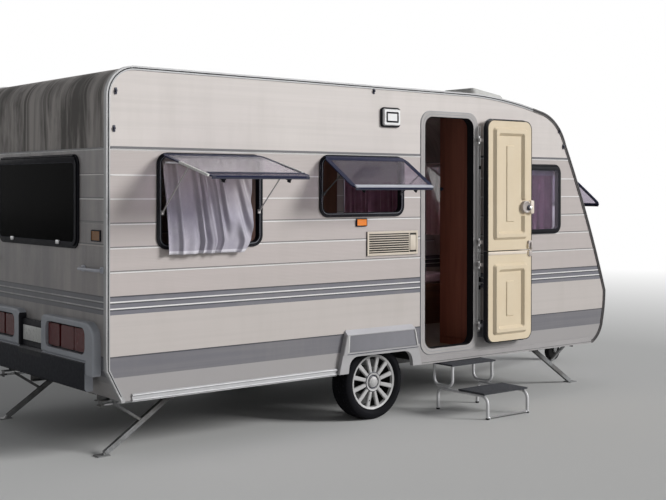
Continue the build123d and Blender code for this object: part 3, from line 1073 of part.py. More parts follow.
# Curtains, each hung from a rail on the wall above its window
CURTAIN_TOP = SEAM_Z + 5
CURTAIN_HIGH = CURTAIN_TOP - SKIN_GAP
CURTAIN_BOTTOM = SEAM_Z - 700
CURTAIN_THICKNESS = 12
RAIL_DEPTH = 20
CURTAIN_RAIL = 10
sill_z = SEAM_Z - 60
hang_y = -INNER_Y + 6
out_y = -HALF_WIDTH - 38
rear_curtain = Polygon(
    (hang_y + CURTAIN_THICKNESS, CURTAIN_HIGH), (hang_y, CURTAIN_HIGH), (hang_y, sill_z), (out_y, CURTAIN_BOTTOM + 10),
    (out_y + CURTAIN_THICKNESS, CURTAIN_BOTTOM + 10), (hang_y + CURTAIN_THICKNESS, sill_z), align=None,
)
rear_curtain_low = REAR_X + 411
rear_curtain_high = rear_curtain_low + 710
save("curtain_rear_side", plate_yz(rear_curtain, rear_curtain_low, rear_curtain_high))
# Columns: side of the body, low X, high X
SIDE_CURTAINS = [
    (-1, KINK_X - 1393, KINK_X - 653), (1, KINK_X - 1393, KINK_X - 653), (1, REAR_X + 380, REAR_X + 1200),
]
curtain_rails = [block(rear_curtain_low - 10, rear_curtain_high + 10, -INNER_Y, -INNER_Y + RAIL_DEPTH,
                       CURTAIN_TOP, CURTAIN_TOP + CURTAIN_RAIL)]
curtains = []
for side, low, high in SIDE_CURTAINS:
    hung = block(low, high, -INNER_Y + 4, -INNER_Y + 4 + CURTAIN_THICKNESS, CURTAIN_BOTTOM, CURTAIN_HIGH)
    track = block(low - 5, high + 5, -INNER_Y, -INNER_Y + RAIL_DEPTH, CURTAIN_TOP, CURTAIN_TOP + CURTAIN_RAIL)
    curtains.append(left(hung) if side > 0 else hung)
    curtain_rails.append(left(track) if side > 0 else track)
inner_x = REAR_X + WALL
rear_track_z = SEAM_Z - 20
half_track = REAR_WINDOW[1] - 13
curtains.append(block(inner_x + 4, inner_x + 4 + CURTAIN_THICKNESS, -half_track, half_track,
                      CURTAIN_BOTTOM, rear_track_z - SKIN_GAP))
curtain_rails.append(block(inner_x, inner_x + RAIL_DEPTH, -half_track - 5, half_track + 5,
                           rear_track_z, rear_track_z + CURTAIN_RAIL))
save("curtains", curtains)
save("curtain_rails", curtain_rails)
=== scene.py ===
"""Looks of a travel caravan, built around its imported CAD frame. Metres, in the frame of the CAD."""

from math import cos, pi, radians, sin, sqrt

import bmesh
import bpy
import numpy as np
from mathutils import Matrix, Vector


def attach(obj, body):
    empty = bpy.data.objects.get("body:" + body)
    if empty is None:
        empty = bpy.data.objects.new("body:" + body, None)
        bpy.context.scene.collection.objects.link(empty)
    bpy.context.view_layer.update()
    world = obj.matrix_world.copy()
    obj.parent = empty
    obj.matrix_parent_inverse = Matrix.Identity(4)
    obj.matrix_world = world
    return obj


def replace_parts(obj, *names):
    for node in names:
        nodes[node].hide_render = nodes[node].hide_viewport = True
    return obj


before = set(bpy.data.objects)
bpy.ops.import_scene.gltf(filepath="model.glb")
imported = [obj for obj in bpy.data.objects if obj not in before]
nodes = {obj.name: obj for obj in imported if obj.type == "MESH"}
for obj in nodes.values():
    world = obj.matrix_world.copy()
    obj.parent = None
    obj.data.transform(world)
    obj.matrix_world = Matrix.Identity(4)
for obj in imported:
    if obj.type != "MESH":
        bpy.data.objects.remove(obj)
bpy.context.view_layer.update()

# Sizes that the CAD source names, in metres
HALF_WIDTH = 1.050
INNER_Y = 1.020
SIDE_BOTTOM = 0.395
REAR_X = -2.311
ROOF_REAR_Z = 2.574
ROOF_REAR_RADIUS = 0.200
KINK_X = 2.732
KINK_Z = 0.854
SEAM_Z = 2.040
FLOOR_TOP = 0.465
SEAT_TOP = FLOOR_TOP + 0.385
WHEEL_RADIUS = 0.288
WHEEL_Y = 0.912
DOOR_LOW_X = 0.478
DOOR_HIGH_X = 1.024
DOOR_LOW_Z = 0.504
DOOR_HIGH_Z = 2.355
DOOR_SPLIT_Z = 1.265
DOOR_HINGE_X = 1.059
DOOR_HINGE_Y = -1.085
DOOR_FAR_X = 2 * DOOR_HINGE_X - DOOR_LOW_X
DOOR_NEAR_X = 2 * DOOR_HINGE_X - DOOR_HIGH_X
LOCK_Z = SIDE_BOTTOM + 1.230
DRAWBAR_END_X = KINK_X + 1.028
BALL_Z = SIDE_BOTTOM + 0.035
SIDES = ((-1, "right"), (1, "left"))
CORNERS = ("front_right", "front_left", "rear_right", "rear_left")

# Camera, from the straight edges of the body in the photograph
CAMERA_AT = (-5.821, -7.760, 1.787)
CAMERA_YAW = radians(38.67)
CAMERA_PITCH = radians(0.22)
CAMERA_ROLL = radians(0.08)
SENSOR = 36.0
LENS = 1157 / 666 * SENSOR
SHIFT_Y = -(250 - 192.1) / 666


def aim_camera():
    """Looks along the yaw, tipped down by the pitch, and turned about that line by the roll."""
    level = Vector((cos(CAMERA_YAW), -sin(CAMERA_YAW), 0))
    forward = Vector((sin(CAMERA_YAW), cos(CAMERA_YAW), 0))
    ahead = forward * cos(CAMERA_PITCH) - Vector((0, 0, sin(CAMERA_PITCH)))
    above = level.cross(ahead)
    right = cos(CAMERA_ROLL) * level + sin(CAMERA_ROLL) * above
    up = -sin(CAMERA_ROLL) * level + cos(CAMERA_ROLL) * above
    data = bpy.data.cameras.new("camera")
    data.lens = LENS
    data.sensor_width = SENSOR
    data.shift_y = SHIFT_Y
    data.clip_end = 200
    camera = bpy.data.objects.new("camera", data)
    turn = Matrix((right, up, -ahead)).transposed().to_4x4()
    camera.matrix_world = Matrix.Translation(CAMERA_AT) @ turn
    bpy.context.scene.collection.objects.link(camera)
    bpy.context.scene.camera = camera


aim_camera()
bpy.context.scene.view_settings.view_transform = "Standard"


# Node materials
class Finish:
    """One node material under construction: helpers add nodes and join them."""

    def __init__(self, name):
        self.material = bpy.data.materials.new(name)
        self.material.use_nodes = True
        self.tree = self.material.node_tree
        self.shader = self.tree.nodes["Principled BSDF"]
        self.place = self.add("ShaderNodeTexCoord").outputs["Object"]

    def add(self, kind, **settings):
        node = self.tree.nodes.new(kind)
        for key, value in settings.items():
            setattr(node, key, value)
        return node

    def join(self, source, target):
        if isinstance(source, bpy.types.NodeSocket):
            self.tree.links.new(source, target)
        else:
            target.default_value = source

    def fed(self, node, values, output=0):
        """The output of a node whose first inputs take the values."""
        for socket, value in zip(node.inputs, values):
            self.join(value, socket)
        return node.outputs[output]

    def maths(self, operation, *values):
        return self.fed(self.add("ShaderNodeMath", operation=operation), values)

    def times(self, first, second):
        return self.maths("MULTIPLY", first, second)

    def axis(self, letter, source=None):
        """One coordinate, or its size where the letter stands between bars."""
        split = self.add("ShaderNodeSeparateXYZ")
        part = self.fed(split, [source or self.place], "XYZ".index(letter.strip("|")))
        return self.maths("ABSOLUTE", part) if "|" in letter else part

    def over(self, letter, edge):
        return self.maths("GREATER_THAN", self.axis(letter), edge)

    def under(self, letter, edge):
        return self.maths("LESS_THAN", self.axis(letter), edge)

    def between(self, letter, low, high):
        return self.times(self.over(letter, low), self.under(letter, high))

    def lattice(self, turns):
        """Waves along the face multiplied by waves up it."""
        across = self.maths("ADD", self.axis("X"), self.axis("Y"))
        waves = [self.maths("SINE", self.times(place, turns)) for place in (across, self.axis("Z"))]
        return self.times(*waves)

    def noise(self, scale, detail=3.0, rough=0.5, stretch=(1, 1, 1), warp=0.0):
        mapping = self.add("ShaderNodeMapping")
        mapping.inputs["Scale"].default_value = stretch
        node = self.add("ShaderNodeTexNoise")
        self.join(self.fed(mapping, [self.place]), node.inputs["Vector"])
        for key, value in (("Scale", scale), ("Detail", detail), ("Roughness", rough), ("Distortion", warp)):
            node.inputs[key].default_value = value
        return node.outputs["Fac"]

    def ranged(self, value, low, high, to_low=0.0, to_high=1.0):
        return self.fed(self.add("ShaderNodeMapRange"), (value, low, high, to_low, to_high))

    def mixed(self, share, first, second, blend="MIX"):
        node = self.add("ShaderNodeMix", data_type="RGBA", blend_type=blend)
        self.join(share, node.inputs[0])
        for socket, colour in ((node.inputs[6], first), (node.inputs[7], second)):
            self.join(colour if isinstance(colour, bpy.types.NodeSocket) else (*colour, 1), socket)
        return node.outputs[2]

    def bands(self, value, stops):
        """The colour of the last stop that the value has passed."""
        node = self.add("ShaderNodeValToRGB")
        node.color_ramp.interpolation = "CONSTANT"
        elements = node.color_ramp.elements
        while len(elements) < len(stops):
            elements.new(0.5)
        for element, (position, colour) in zip(elements, stops):
            element.position = position
            element.color = (*colour, 1)
        return self.fed(node, [value])

    def bump(self, height, depth, strength):
        node = self.add("ShaderNodeBump")
        node.inputs["Strength"].default_value = strength
        node.inputs["Distance"].default_value = depth
        self.join(height, node.inputs["Height"])
        self.join(node.outputs[0], self.shader.inputs["Normal"])

    def roughen(self, low, high, source=40):
        """Roughness by a noise, given as a socket or by its scale."""
        if not isinstance(source, bpy.types.NodeSocket):
            source = self.noise(source)
        self.set(Roughness=self.ranged(source, 0.3, 0.7, low, high))

    def set(self, **values):
        for key, value in values.items():
            socket = self.shader.inputs[key.replace("_", " ")]
            if isinstance(value, tuple) and len(value) == 3 and socket.type == "RGBA":
                value = (*value, 1)
            self.join(value, socket)


WHITE_PANEL = (0.665, 0.615, 0.588)
CREAM_PANEL = (0.525, 0.482, 0.458)
BOTTOM_PANEL = (0.34, 0.325, 0.325)
RIB_PANEL = (0.50, 0.448, 0.430)
RIB_SHADOW = (0.20, 0.19, 0.185)
SEAM_DARK = (0.13, 0.13, 0.14)
STRIPE_GREY = (0.165, 0.165, 0.19)
BAND_GREY = (0.160, 0.157, 0.174)
# Painted shade: the dark lines at the edges of the grey band and of the stripes
PAINTED_EDGE_SHADE = (0.05, 0.05, 0.06)
# Painted highlight: the lit lines under the ribs and the seam, and between the stripes
PAINTED_LIT_LINE = (0.78, 0.765, 0.755)
LINING_CREAM = (0.72, 0.61, 0.445)
SEAL_BLACK = (0.02, 0.02, 0.024)

# Heights where the colour of the sheet changes, from the bottom up. The dark lines at the edges of the grey
# band and at the top of each grey stripe are painted shade, and the white lines between the stripes are
# painted highlights.
SHEET_LOW, SHEET_HIGH = 0.38, 2.60
SHEET_ZONES = [
    (SHEET_LOW, BOTTOM_PANEL), (0.545, PAINTED_EDGE_SHADE), (0.551, BAND_GREY), (0.680, PAINTED_EDGE_SHADE),
    (0.686, CREAM_PANEL), (0.957, STRIPE_GREY), (0.984, PAINTED_EDGE_SHADE), (0.990, PAINTED_LIT_LINE),
    (1.002, STRIPE_GREY), (1.027, PAINTED_EDGE_SHADE), (1.033, PAINTED_LIT_LINE), (1.046, STRIPE_GREY),
    (1.069, PAINTED_EDGE_SHADE), (1.075, RIB_PANEL),
]
SIDE_RIBS = (1.235, 1.391, 1.545, 1.707, 1.865)
REAR_RIBS = (1.406, 1.554, 1.710, 1.871)

# The opened door: where its outer skin, its edge and its lining begin
SKIN_Y = -1.1045
LINING_Y = -1.143
KNUCKLE_Y = -1.0995


def siding(name, ribs, lined=False, stained_and_shaded=False):
    """Painted sheet: zones of colour by height, with lines of painted shade and painted highlight at the
    edges of the grey stripes and band, a shadow line over a lit line at each pressed rib, fine fluting
    between the ribs, and faint streaks of dirt. A lined one is a door leaf, whose edge is black and whose
    inner face is cream. One that is stained and shaded is darkened at the rear in runs, which stand for both
    stains and painted shade."""
    finish = Finish(name)
    edges = list(SHEET_ZONES)
    for z in ribs:
        edges += [(z - 0.0075, PAINTED_LIT_LINE), (z + 0.0005, RIB_SHADOW), (z + 0.006, RIB_PANEL)]
    edges += [(SEAM_Z - 0.015, PAINTED_LIT_LINE), (SEAM_Z - 0.0075, SEAM_DARK), (SEAM_Z + 0.0075, WHITE_PANEL)]
    stops = [((z - SHEET_LOW) / (SHEET_HIGH - SHEET_LOW), colour) for z, colour in edges]
    paint = finish.bands(finish.ranged(finish.axis("Z"), SHEET_LOW, SHEET_HIGH), stops)
    streaks = finish.times(finish.noise(9, 4, 0.6, (1, 1, 0.10)), finish.noise(1.7, 3, 0.55))
    paint = finish.mixed(finish.ranged(streaks, 0.22, 0.45, 0.0, 0.13), paint, (0.33, 0.31, 0.27))
    rolled = finish.ranged(finish.noise(5, 3, 0.6, (0.12, 0.12, 7)), 0.42, 0.62, 0.0, 0.10)
    paint = finish.mixed(rolled, paint, (0.36, 0.34, 0.32))
    fluted = finish.between("Z", 1.08, SEAM_Z)
    # Runs darken the rear wall: stains, and painted shade over the rear
    if stained_and_shaded:
        runs = finish.ranged(finish.noise(4.5, 4, 0.6, (1, 1, 0.12)), 0.36, 0.62, 0.30, 0.68)
        paint = finish.mixed(finish.times(runs, finish.under("X", REAR_X + 0.05)), paint, SEAM_DARK)
    if lined:
        faded = finish.ranged(finish.noise(5, 4, 0.6), 0.35, 0.7, 0.0, 0.5)
        cream = finish.mixed(faded, LINING_CREAM, (0.66, 0.54, 0.375))
        paint = finish.mixed(finish.under("Y", SKIN_Y), paint, SEAL_BLACK)
        paint = finish.mixed(finish.under("Y", LINING_Y), paint, cream)
        paint = finish.mixed(finish.over("Y", KNUCKLE_Y), paint, (0.55, 0.55, 0.55))
        fluted = finish.times(fluted, finish.over("Y", SKIN_Y))
    finish.set(Base_Color=paint, Coat_Weight=0.05, Coat_Roughness=0.2, Specular_IOR_Level=0.35)
    finish.roughen(0.29, 0.44, 26)
    flutes = finish.times(fluted, finish.maths("SINE", finish.times(finish.axis("Z"), 620.0)))
    finish.bump(finish.maths("MULTIPLY_ADD", flutes, 0.07, finish.noise(2.6, 2, 0.5)), 0.004, 0.5)
    return finish.material


def shaded_dirty_roof():
    """White roof sheet with rain streaks over its rear curve, darkened towards the rear for both dirt and
    painted shade.
    """
    finish = Finish("shaded_dirty_roof_sheet")
    streaks = finish.noise(5.5, 5, 0.65, (0.25, 1, 0.12), 0.6)
    # Darker towards the rear: dirt together with painted shade over the rear curve
    behind = finish.ranged(finish.axis("X"), REAR_X + 0.05, REAR_X + 0.5, 0.62, 0.35)
    shade_and_dirt_film = finish.ranged(finish.axis("X"), REAR_X + 0.12, REAR_X + 0.35, 0.34, 0.0)
    dirt_and_shade = finish.maths("MULTIPLY_ADD", finish.ranged(streaks, 0.42, 0.60), behind, shade_and_dirt_film)
    finish.set(Base_Color=finish.mixed(dirt_and_shade, WHITE_PANEL, (0.13, 0.122, 0.115)), Specular_IOR_Level=0.06)
    finish.roughen(0.60, 0.75, 14)
    finish.bump(finish.noise(3, 2), 0.003, 0.4)
    return finish.material


def moulded(finish, paint, rough, grain, depth, shine, metal=0.0):
    """Ends a plastic or a paint: its colour, shine and metal, and a fine moulded grain."""
    finish.set(Base_Color=paint, Specular_IOR_Level=shine, Metallic=metal)
    finish.roughen(rough - 0.07, rough + 0.09)
    finish.bump(finish.noise(grain, 2), depth, 0.6)
    return finish.material


def zoned(name, colour, zones, rough=0.4, grain=700.0, metal=0.0, shine=0.5, depth=0.0002):
    """Plastic or paint whose colour and metal change where the place passes every test of a zone.
    Columns of a zone: tests, colour, metal. Each test is an axis and the range that passes."""
    finish = Finish(name)
    paint, plated = colour, metal
    for tests, other, other_metal in zones:
        mask = finish.between(*tests[0])
        for test in tests[1:]:
            mask = finish.times(mask, finish.between(*test))
        paint = finish.mixed(mask, paint, other)
        if other_metal != metal:
            plated = finish.ranged(mask, 0, 1, plated, other_metal)
    tone = finish.ranged(finish.noise(6, 4, 0.6), 0.35, 0.7, 0.0, 0.3)
    paint = finish.mixed(tone, paint, (0.24, 0.23, 0.21), "SOFT_LIGHT")
    return moulded(finish, paint, rough, grain, depth, shine, plated)


def plastic(name, colour, rough=0.4, grain=900.0, depth=0.0002, worn=None, shine=0.5):
    """Plastic with a slight change of tone and faded patches."""
    finish = Finish(name)
    worn = worn or tuple(min(1.0, c * 1.2 + 0.003) for c in colour)
    paint = finish.mixed(finish.ranged(finish.noise(6, 4, 0.6), 0.35, 0.7, 0.0, 0.55), colour, worn)
    return moulded(finish, paint, rough, grain, depth, shine)


def bright_metal(name, colour, rough, stained, brush=(1, 1, 1)):
    """Bare or plated metal: brushed along one direction, dulled in patches."""
    finish = Finish(name)
    hair = finish.noise(180, 4, 0.6, brush)
    patches = finish.ranged(finish.noise(5, 5, 0.65), 0.45, 0.75, 0.0, stained)
    finish.set(Base_Color=finish.mixed(patches, colour, (0.2, 0.19, 0.18)), Metallic=1.0)
    finish.roughen(rough - 0.08, rough + 0.12, hair)
    finish.bump(hair, 0.0003, 0.35)
    return finish.material


def galvanised_steel():
    """Zinc coat with its crystal spangle, dull and blotchy, with road dirt."""
    finish = Finish("galvanised_steel")
    spangle = finish.add("ShaderNodeTexVoronoi")
    finish.join(finish.place, spangle.inputs["Vector"])
    spangle.inputs["Scale"].default_value = 55
    share = finish.ranged(finish.axis("X", spangle.outputs["Color"]), 0, 1, 0.0, 0.5)
    tone = finish.mixed(share, (0.25, 0.255, 0.26), (0.15, 0.155, 0.16))
    dirt = finish.ranged(finish.noise(4, 5, 0.65), 0.38, 0.66, 0.1, 0.8)
    finish.set(Base_Color=finish.mixed(dirt, tone, (0.06, 0.052, 0.045)), Metallic=0.6, Roughness=0.58)
    finish.bump(finish.noise(60, 4), 0.0006, 0.4)
    return finish.material


ALONG_X = (0.55, 9, 9)
ALONG_Z = (9, 9, 0.55)


def veneer(name, dark, light, along=ALONG_X, gloss=0.38):
    """Wood veneer: long grain along one axis, in two tones, with fine pores."""
    finish = Finish(name)
    grain = finish.noise(2.2, 6, 0.62, along, 0.7)
    pores = finish.noise(60, 3, 0.6, tuple(s * 0.8 for s in along))
    tone = finish.mixed(finish.ranged(grain, 0.32, 0.68), dark, light)
    shade = finish.ranged(pores, 0.52, 0.75, 0.0, 0.35)
    finish.set(Base_Color=finish.mixed(shade, tone, tuple(c * 0.55 for c in dark)))
    finish.roughen(gloss, gloss + 0.1, grain)
    finish.bump(pores, 0.0002, 0.3)
    return finish.material


def two_woods():
    """Dark red veneer on the right side of the cabin and darker, warmer veneer on the left."""
    finish = Finish("cabinet_veneer")
    grain = finish.noise(2.2, 6, 0.62, ALONG_Z, 0.7)
    share = finish.ranged(grain, 0.32, 0.68)
    red = finish.mixed(share, (0.25, 0.082, 0.056), (0.36, 0.130, 0.088))
    warm = finish.mixed(share, (0.10, 0.033, 0.018), (0.15, 0.055, 0.028))
    finish.set(Base_Color=finish.mixed(finish.over("Y", 0.0), red, warm))
    finish.roughen(0.36, 0.48, grain)
    finish.bump(finish.noise(60, 3, 0.6, (8, 8, 0.5)), 0.0002, 0.3)
    return finish.material


def woven(name, colour, second, thread, sheer=0.0, sheen=0.25, band=None, fade=None):
    """Cloth: two sets of threads crossing as two sine waves, and a soft change of tone. A band of another
    colour runs across it between two heights, and it fades upwards into a third, darker colour, which is
    painted shade over the top of the cloth."""
    finish = Finish(name)
    weave = finish.lattice(2 * pi / thread)
    tone = finish.noise(7, 4, 0.6)
    dyed = finish.mixed(finish.ranged(tone, 0.3, 0.7), colour, second)
    # Painted shade: the cloth darkens upwards
    if fade:
        dyed = finish.mixed(finish.ranged(finish.axis("Z"), *fade[:2]), dyed, fade[2])
    if band:
        dyed = finish.mixed(finish.between("Z", *band[:2]), dyed, band[2])
    finish.set(Base_Color=dyed, Sheen_Weight=sheen, Sheen_Roughness=0.5)
    finish.roughen(0.82, 0.95, tone)
    finish.bump(weave, 0.0003, 0.4)
    if sheer:
        finish.set(Alpha=finish.ranged(weave, -1, 1, 1 - sheer, 1.0))
    return finish.material


def tyre_rubber(name, colour):
    """Rubber greyed by dust, rougher where it is dusty."""
    finish = Finish(name)
    dust = finish.ranged(finish.noise(11, 5, 0.6), 0.4, 0.75, 0.0, 0.5)
    finish.set(Base_Color=finish.mixed(dust, colour, (0.013, 0.013, 0.013)), Specular_IOR_Level=0.04)
    finish.set(Roughness=finish.ranged(dust, 0, 0.5, 0.62, 0.85))
    finish.bump(finish.noise(300, 3), 0.0004, 0.5)
    return finish.material


def acrylic(name, tint, clear, rough=0.08, haze=0.2, rear_shade_tint=None):
    """Tinted acrylic, hazed by fine scratches, so that it is partly clear and partly milky. The pane of the
    rear wall is darkened near to black as painted shade, and hardly mirrors."""
    finish = Finish(name)
    scratches = finish.noise(30, 5, 0.65, (1, 1, 0.4))
    share = finish.ranged(scratches, 0.35, 0.75, 0.0, haze)
    colour, bending = finish.mixed(share, tint, tuple(min(1, c * 1.5) for c in tint)), 1.2
    # Painted shade: the rear pane is darkened near to black
    if rear_shade_tint:
        behind = finish.under("X", REAR_X)
        colour = finish.mixed(behind, colour, rear_shade_tint)
        bending = finish.ranged(behind, 0, 1, bending, 1.05)
    finish.set(Base_Color=colour, Transmission_Weight=clear, IOR=bending, Specular_IOR_Level=0.08)
    finish.set(Roughness=finish.ranged(scratches, 0.3, 0.75, rough, rough + 0.14))
    return finish.material


def lens(name, colour, rear=None):
    """Moulded lens: clear colour over a lattice of small prisms. One on the rear wall may be darkened, as
    painted shade.
    """
    finish = Finish(name)
    cells = finish.lattice(520.0)
    lit = finish.mixed(finish.ranged(cells, -1, 1), colour, tuple(min(1, c * 1.5 + 0.01) for c in colour))
    # Painted shade: lenses on the rear wall take a darker colour
    if rear:
        lit = finish.mixed(finish.under("X", REAR_X + 0.02), lit, rear)
    finish.set(Base_Color=lit, Coat_Weight=0.05, Coat_Roughness=0.1, Specular_IOR_Level=0.2)
    finish.roughen(0.16, 0.28, 20)
    finish.bump(cells, 0.0015, 0.6)
    return finish.material


side_siding = siding("painted_side_sheet", SIDE_RIBS)
end_siding = siding("painted_end_sheet", REAR_RIBS, stained_and_shaded=True)
door_sheet = siding("lined_door_sheet", SIDE_RIBS, lined=True)
frame_rubber = plastic("window_frame_rubber", (0.009, 0.009, 0.012), 0.5, 500, shine=0.08)
seal_rubber = plastic("soft_seal_rubber", (0.012, 0.012, 0.014), 0.6, 700, shine=0.08)
trim_alloy = bright_metal("anodised_rail", (0.60, 0.60, 0.60), 0.34, 0.3, (0.3, 1, 0.3))
edge_alloy = zoned("edge_trim_alloy", (0.36, 0.36, 0.365), [
    ([("X", 1.75, 3)], (0.080, 0.074, 0.074), 0.3),
], 0.45, 500, 0.35)
stay_rods = zoned("stay_rod_finish", (0.03, 0.03, 0.034), [([("X", -2.2, -0.95)], (0.50, 0.48, 0.47), 0.2)])
FRONT_SILL = ("X", 0.3, 2.56)
bright_rail = zoned("polished_skirt_rail", (0.46, 0.46, 0.47), [
    ([FRONT_SILL, ("Z", 0.0, 0.5)], BOTTOM_PANEL, 0.0),
    ([FRONT_SILL, ("Z", 0.3985, 0.4025)], (0.10, 0.10, 0.10), 0.0),
], 0.5, 900, 0.3)
frame_alloy = plastic("door_frame_enamel", (0.385, 0.367, 0.358), 0.36, 700, shine=0.3)
# Painted highlight: above the inlay, the cover's top bevel is lighter
cover_grey = zoned("arch_cover_plastic", (0.385, 0.378, 0.385), [
    ([("Z", 0.684, 0.80)], (0.50, 0.495, 0.52), 0.0),
], 0.42)
panel_grey = plastic("grey_inlay_plastic", (0.162, 0.160, 0.178), 0.45)
# Zones: near black on the lower body; near black inside the lamp recesses, as painted shade; black behind the
# number plate
bumper_silver = zoned("bumper_silver_paint", (0.40, 0.415, 0.45), [
    ([("|Y|", -1, 0.858), ("Z", 0, 0.6395)], (0.008, 0.009, 0.014), 0.0),
    ([("|Y|", -1, 0.866), ("X", REAR_X - 0.0265, 0), ("Z", 0.66, 0.875)], (0.010, 0.010, 0.013), 0.0),
    ([("|Y|", -1, 0.1905), ("Z", 0.6, 0.9)], SEAL_BLACK, 0.0),
], 0.42, 900, 0.1, 0.1, 0.00006)
# Painted shade: the back of the vent, behind the faces of its slats, is dark
vent_cream = zoned("vent_cream_plastic", (0.64, 0.57, 0.48), [
    ([("Y", -1.0595, 0)], (0.025, 0.020, 0.016), 0.0),
], 0.45, shine=0.2)
pale_cream = plastic("pale_cream_plastic", (0.64, 0.56, 0.47), 0.42)
light_grey = plastic("light_grey_plastic", (0.44, 0.45, 0.50), 0.34)
dish_grey = plastic("lock_dish_plastic", (0.40, 0.355, 0.335), 0.36)
bar_dark = plastic("dark_bar_plastic", (0.05, 0.052, 0.075), shine=0.15)
pane_border = plastic("printed_pane_border", (0.016, 0.019, 0.050), 0.35, shine=0.08)
seal_grey = plastic("grey_seal_line", (0.26, 0.27, 0.30))
worktop_grey = plastic("worktop_laminate", (0.36, 0.34, 0.31), 0.35)
plate_white = plastic("blank_plate_white", (0.62, 0.62, 0.60), 0.3)
galvanised = galvanised_steel()
dark_paint = plastic("worn_black_paint", (0.03, 0.03, 0.032), 0.5, 300, 0.0005, (0.10, 0.075, 0.06))
step_chrome = bright_metal("plated_fitting", (0.62, 0.62, 0.63), 0.3, 0.3)
step_grey = zoned("grey_step_tube", (0.62, 0.62, 0.63), [
    ([("Z", -1, 0.021), ("Y", -1.50, -1.04)], (0.12, 0.12, 0.12), 0.0),
    ([("Z", -1, 0.021), ("X", 0.70, 1.11)], (0.12, 0.12, 0.12), 0.0),
], 0.42, 500, 0.1)
tread_black = plastic("step_tread_rubber", (0.026, 0.028, 0.034), 0.65, 220, 0.001, shine=0.3)
# Painted shade: the barrel inside the spokes is near black
rim_silver = zoned("silver_wheel_lacquer", (0.46, 0.455, 0.455), [
    ([("|Y|", -1, 0.966)], (0.012, 0.0115, 0.011), 0.05),
], 0.5, 900, 0.12, 0.2, 0.00005)
rubber = tyre_rubber("tyre_rubber", (0.009, 0.009, 0.011))
small_rubber = tyre_rubber("solid_wheel_rubber", (0.014, 0.014, 0.014))
pane_tint = acrylic("tinted_window_acrylic", (0.50, 0.45, 0.54), 0.93, haze=0.15,
                    rear_shade_tint=(0.006, 0.006, 0.008))
dome_milk = acrylic("milky_roof_dome", (0.62, 0.62, 0.60), 0.1, 0.55)
# Painted shade: the red of the rear lamps is darkened
red_lens = lens("red_lamp_lens", (0.085, 0.005, 0.006))
# Painted shade: the rear reflectors take a darker amber
amber_lens = lens("amber_marker_lens", (0.80, 0.19, 0.01), (0.30, 0.13, 0.035))
white_lens = lens("white_lamp_lens", (0.78, 0.78, 0.77))
cabin_wood = two_woods()
kitchen_wood = veneer("kitchen_veneer", (0.09, 0.032, 0.018), (0.15, 0.055, 0.028))
bench_wood = veneer("bench_veneer", (0.10, 0.036, 0.02), (0.17, 0.065, 0.032))
locker_wood = veneer("locker_ply", (0.34, 0.24, 0.14), (0.44, 0.32, 0.20), ALONG_Z, 0.6)
# Painted shade: the underside and the edges of the floor board are near black
floor_wood = zoned("sealed_floor_board", (0.20, 0.14, 0.09), [
    ([("Z", 0, FLOOR_TOP - 0.0005)], (0.018, 0.018, 0.018), 0.0),
], 0.6)
arch_black = plastic("wheel_well_plastic", (0.02, 0.02, 0.02), 0.6)
chrome = bright_metal("catch_chrome", (0.75, 0.75, 0.74), 0.16, 0.1)
# The loose curtain darkens towards its top as painted shade under the opened pane
sheer_cloth = woven("sheer_curtain_cloth", (0.47, 0.445, 0.50), (0.37, 0.35, 0.415), 0.0016, 0.22, 0.3,
                    (SEAM_Z - 0.70, SEAM_Z - 0.678, (0.70, 0.68, 0.73)),
                    (SEAM_Z - 0.45, SEAM_Z - 0.08, (0.33, 0.285, 0.27)))
mauve_cloth = woven("mauve_curtain_cloth", (0.40, 0.20, 0.29), (0.26, 0.125, 0.19), 0.0014,
                    band=(SEAM_Z - 0.145, SEAM_Z, (0.40, 0.37, 0.47)))
# Painted light: a lighter colour for curtains lit through the opened front window
backlit_rose_cloth = woven("rose_curtain_cloth", (0.78, 0.55, 0.55), (0.66, 0.45, 0.46), 0.0014, 0.8)
seat_cloth = woven("seat_cushion_cloth", (0.34, 0.20, 0.20), (0.25, 0.14, 0.15), 0.0018)

NODE_FINISH = {
    side_siding: ["side_wall_right", "side_wall_left", "wall_beads"],
    end_siding: ["rear_wall", "front_wall", "locker_lid", "front_valance"],
    door_sheet: ["door_upper", "door_lower"],
    shaded_dirty_roof(): ["roof"],
    trim_alloy: ["curtain_rails"],
    edge_alloy: ["edge_trims"],
    stay_rods: ["window_stays"],
    bright_rail: ["alloy_rails"],
    frame_alloy: ["door_frame"],
    chrome: ["door_hinge_plates"],
    cover_grey: ["wheel_arch_covers"],
    arch_black: ["wheel_housings"],
    bumper_silver: ["rear_bumper"],
    red_lens: ["rear_lamps"],
    amber_lens: ["side_markers"],
    white_lens: ["awning_lamp"],
    vent_cream: ["vent_grilles"],
    frame_rubber: ["window_frames"],
    pane_tint: ["window_panes"],
    dome_milk: ["roof_vents"],
    light_grey: ["grab_handles"],
    galvanised: ["chassis_rails", "cross_members", "drawbar_arms", "axle", "jockey_clamp", "jockey_leg",
                 "jockey_fork", "steady_brackets"]
    + [f"steady_{part}_{corner}" for part in ("leg", "brace") for corner in CORNERS],
    dark_paint: ["coupling_head", "handbrake_lever"],
    small_rubber: ["jockey_wheel"],
    cabin_wood: ["wardrobe"],
    kitchen_wood: ["kitchen_unit"],
    bench_wood: ["seat_boxes"],
    floor_wood: ["floor"],
    locker_wood: ["locker_bulkhead"],
    step_grey: ["step_frame"],
    tread_black: ["step_treads"],
    rubber: ["tyre_right", "tyre_left"],
    rim_silver: ["rim_right", "rim_left"],
    seat_cloth: ["cushions"],
    sheer_cloth: ["curtain_rear_side"],
    mauve_cloth: ["curtains"],
}
for finish, names in NODE_FINISH.items():
    for name in names:
        nodes[name].data.materials.clear()
        nodes[name].data.materials.append(finish)


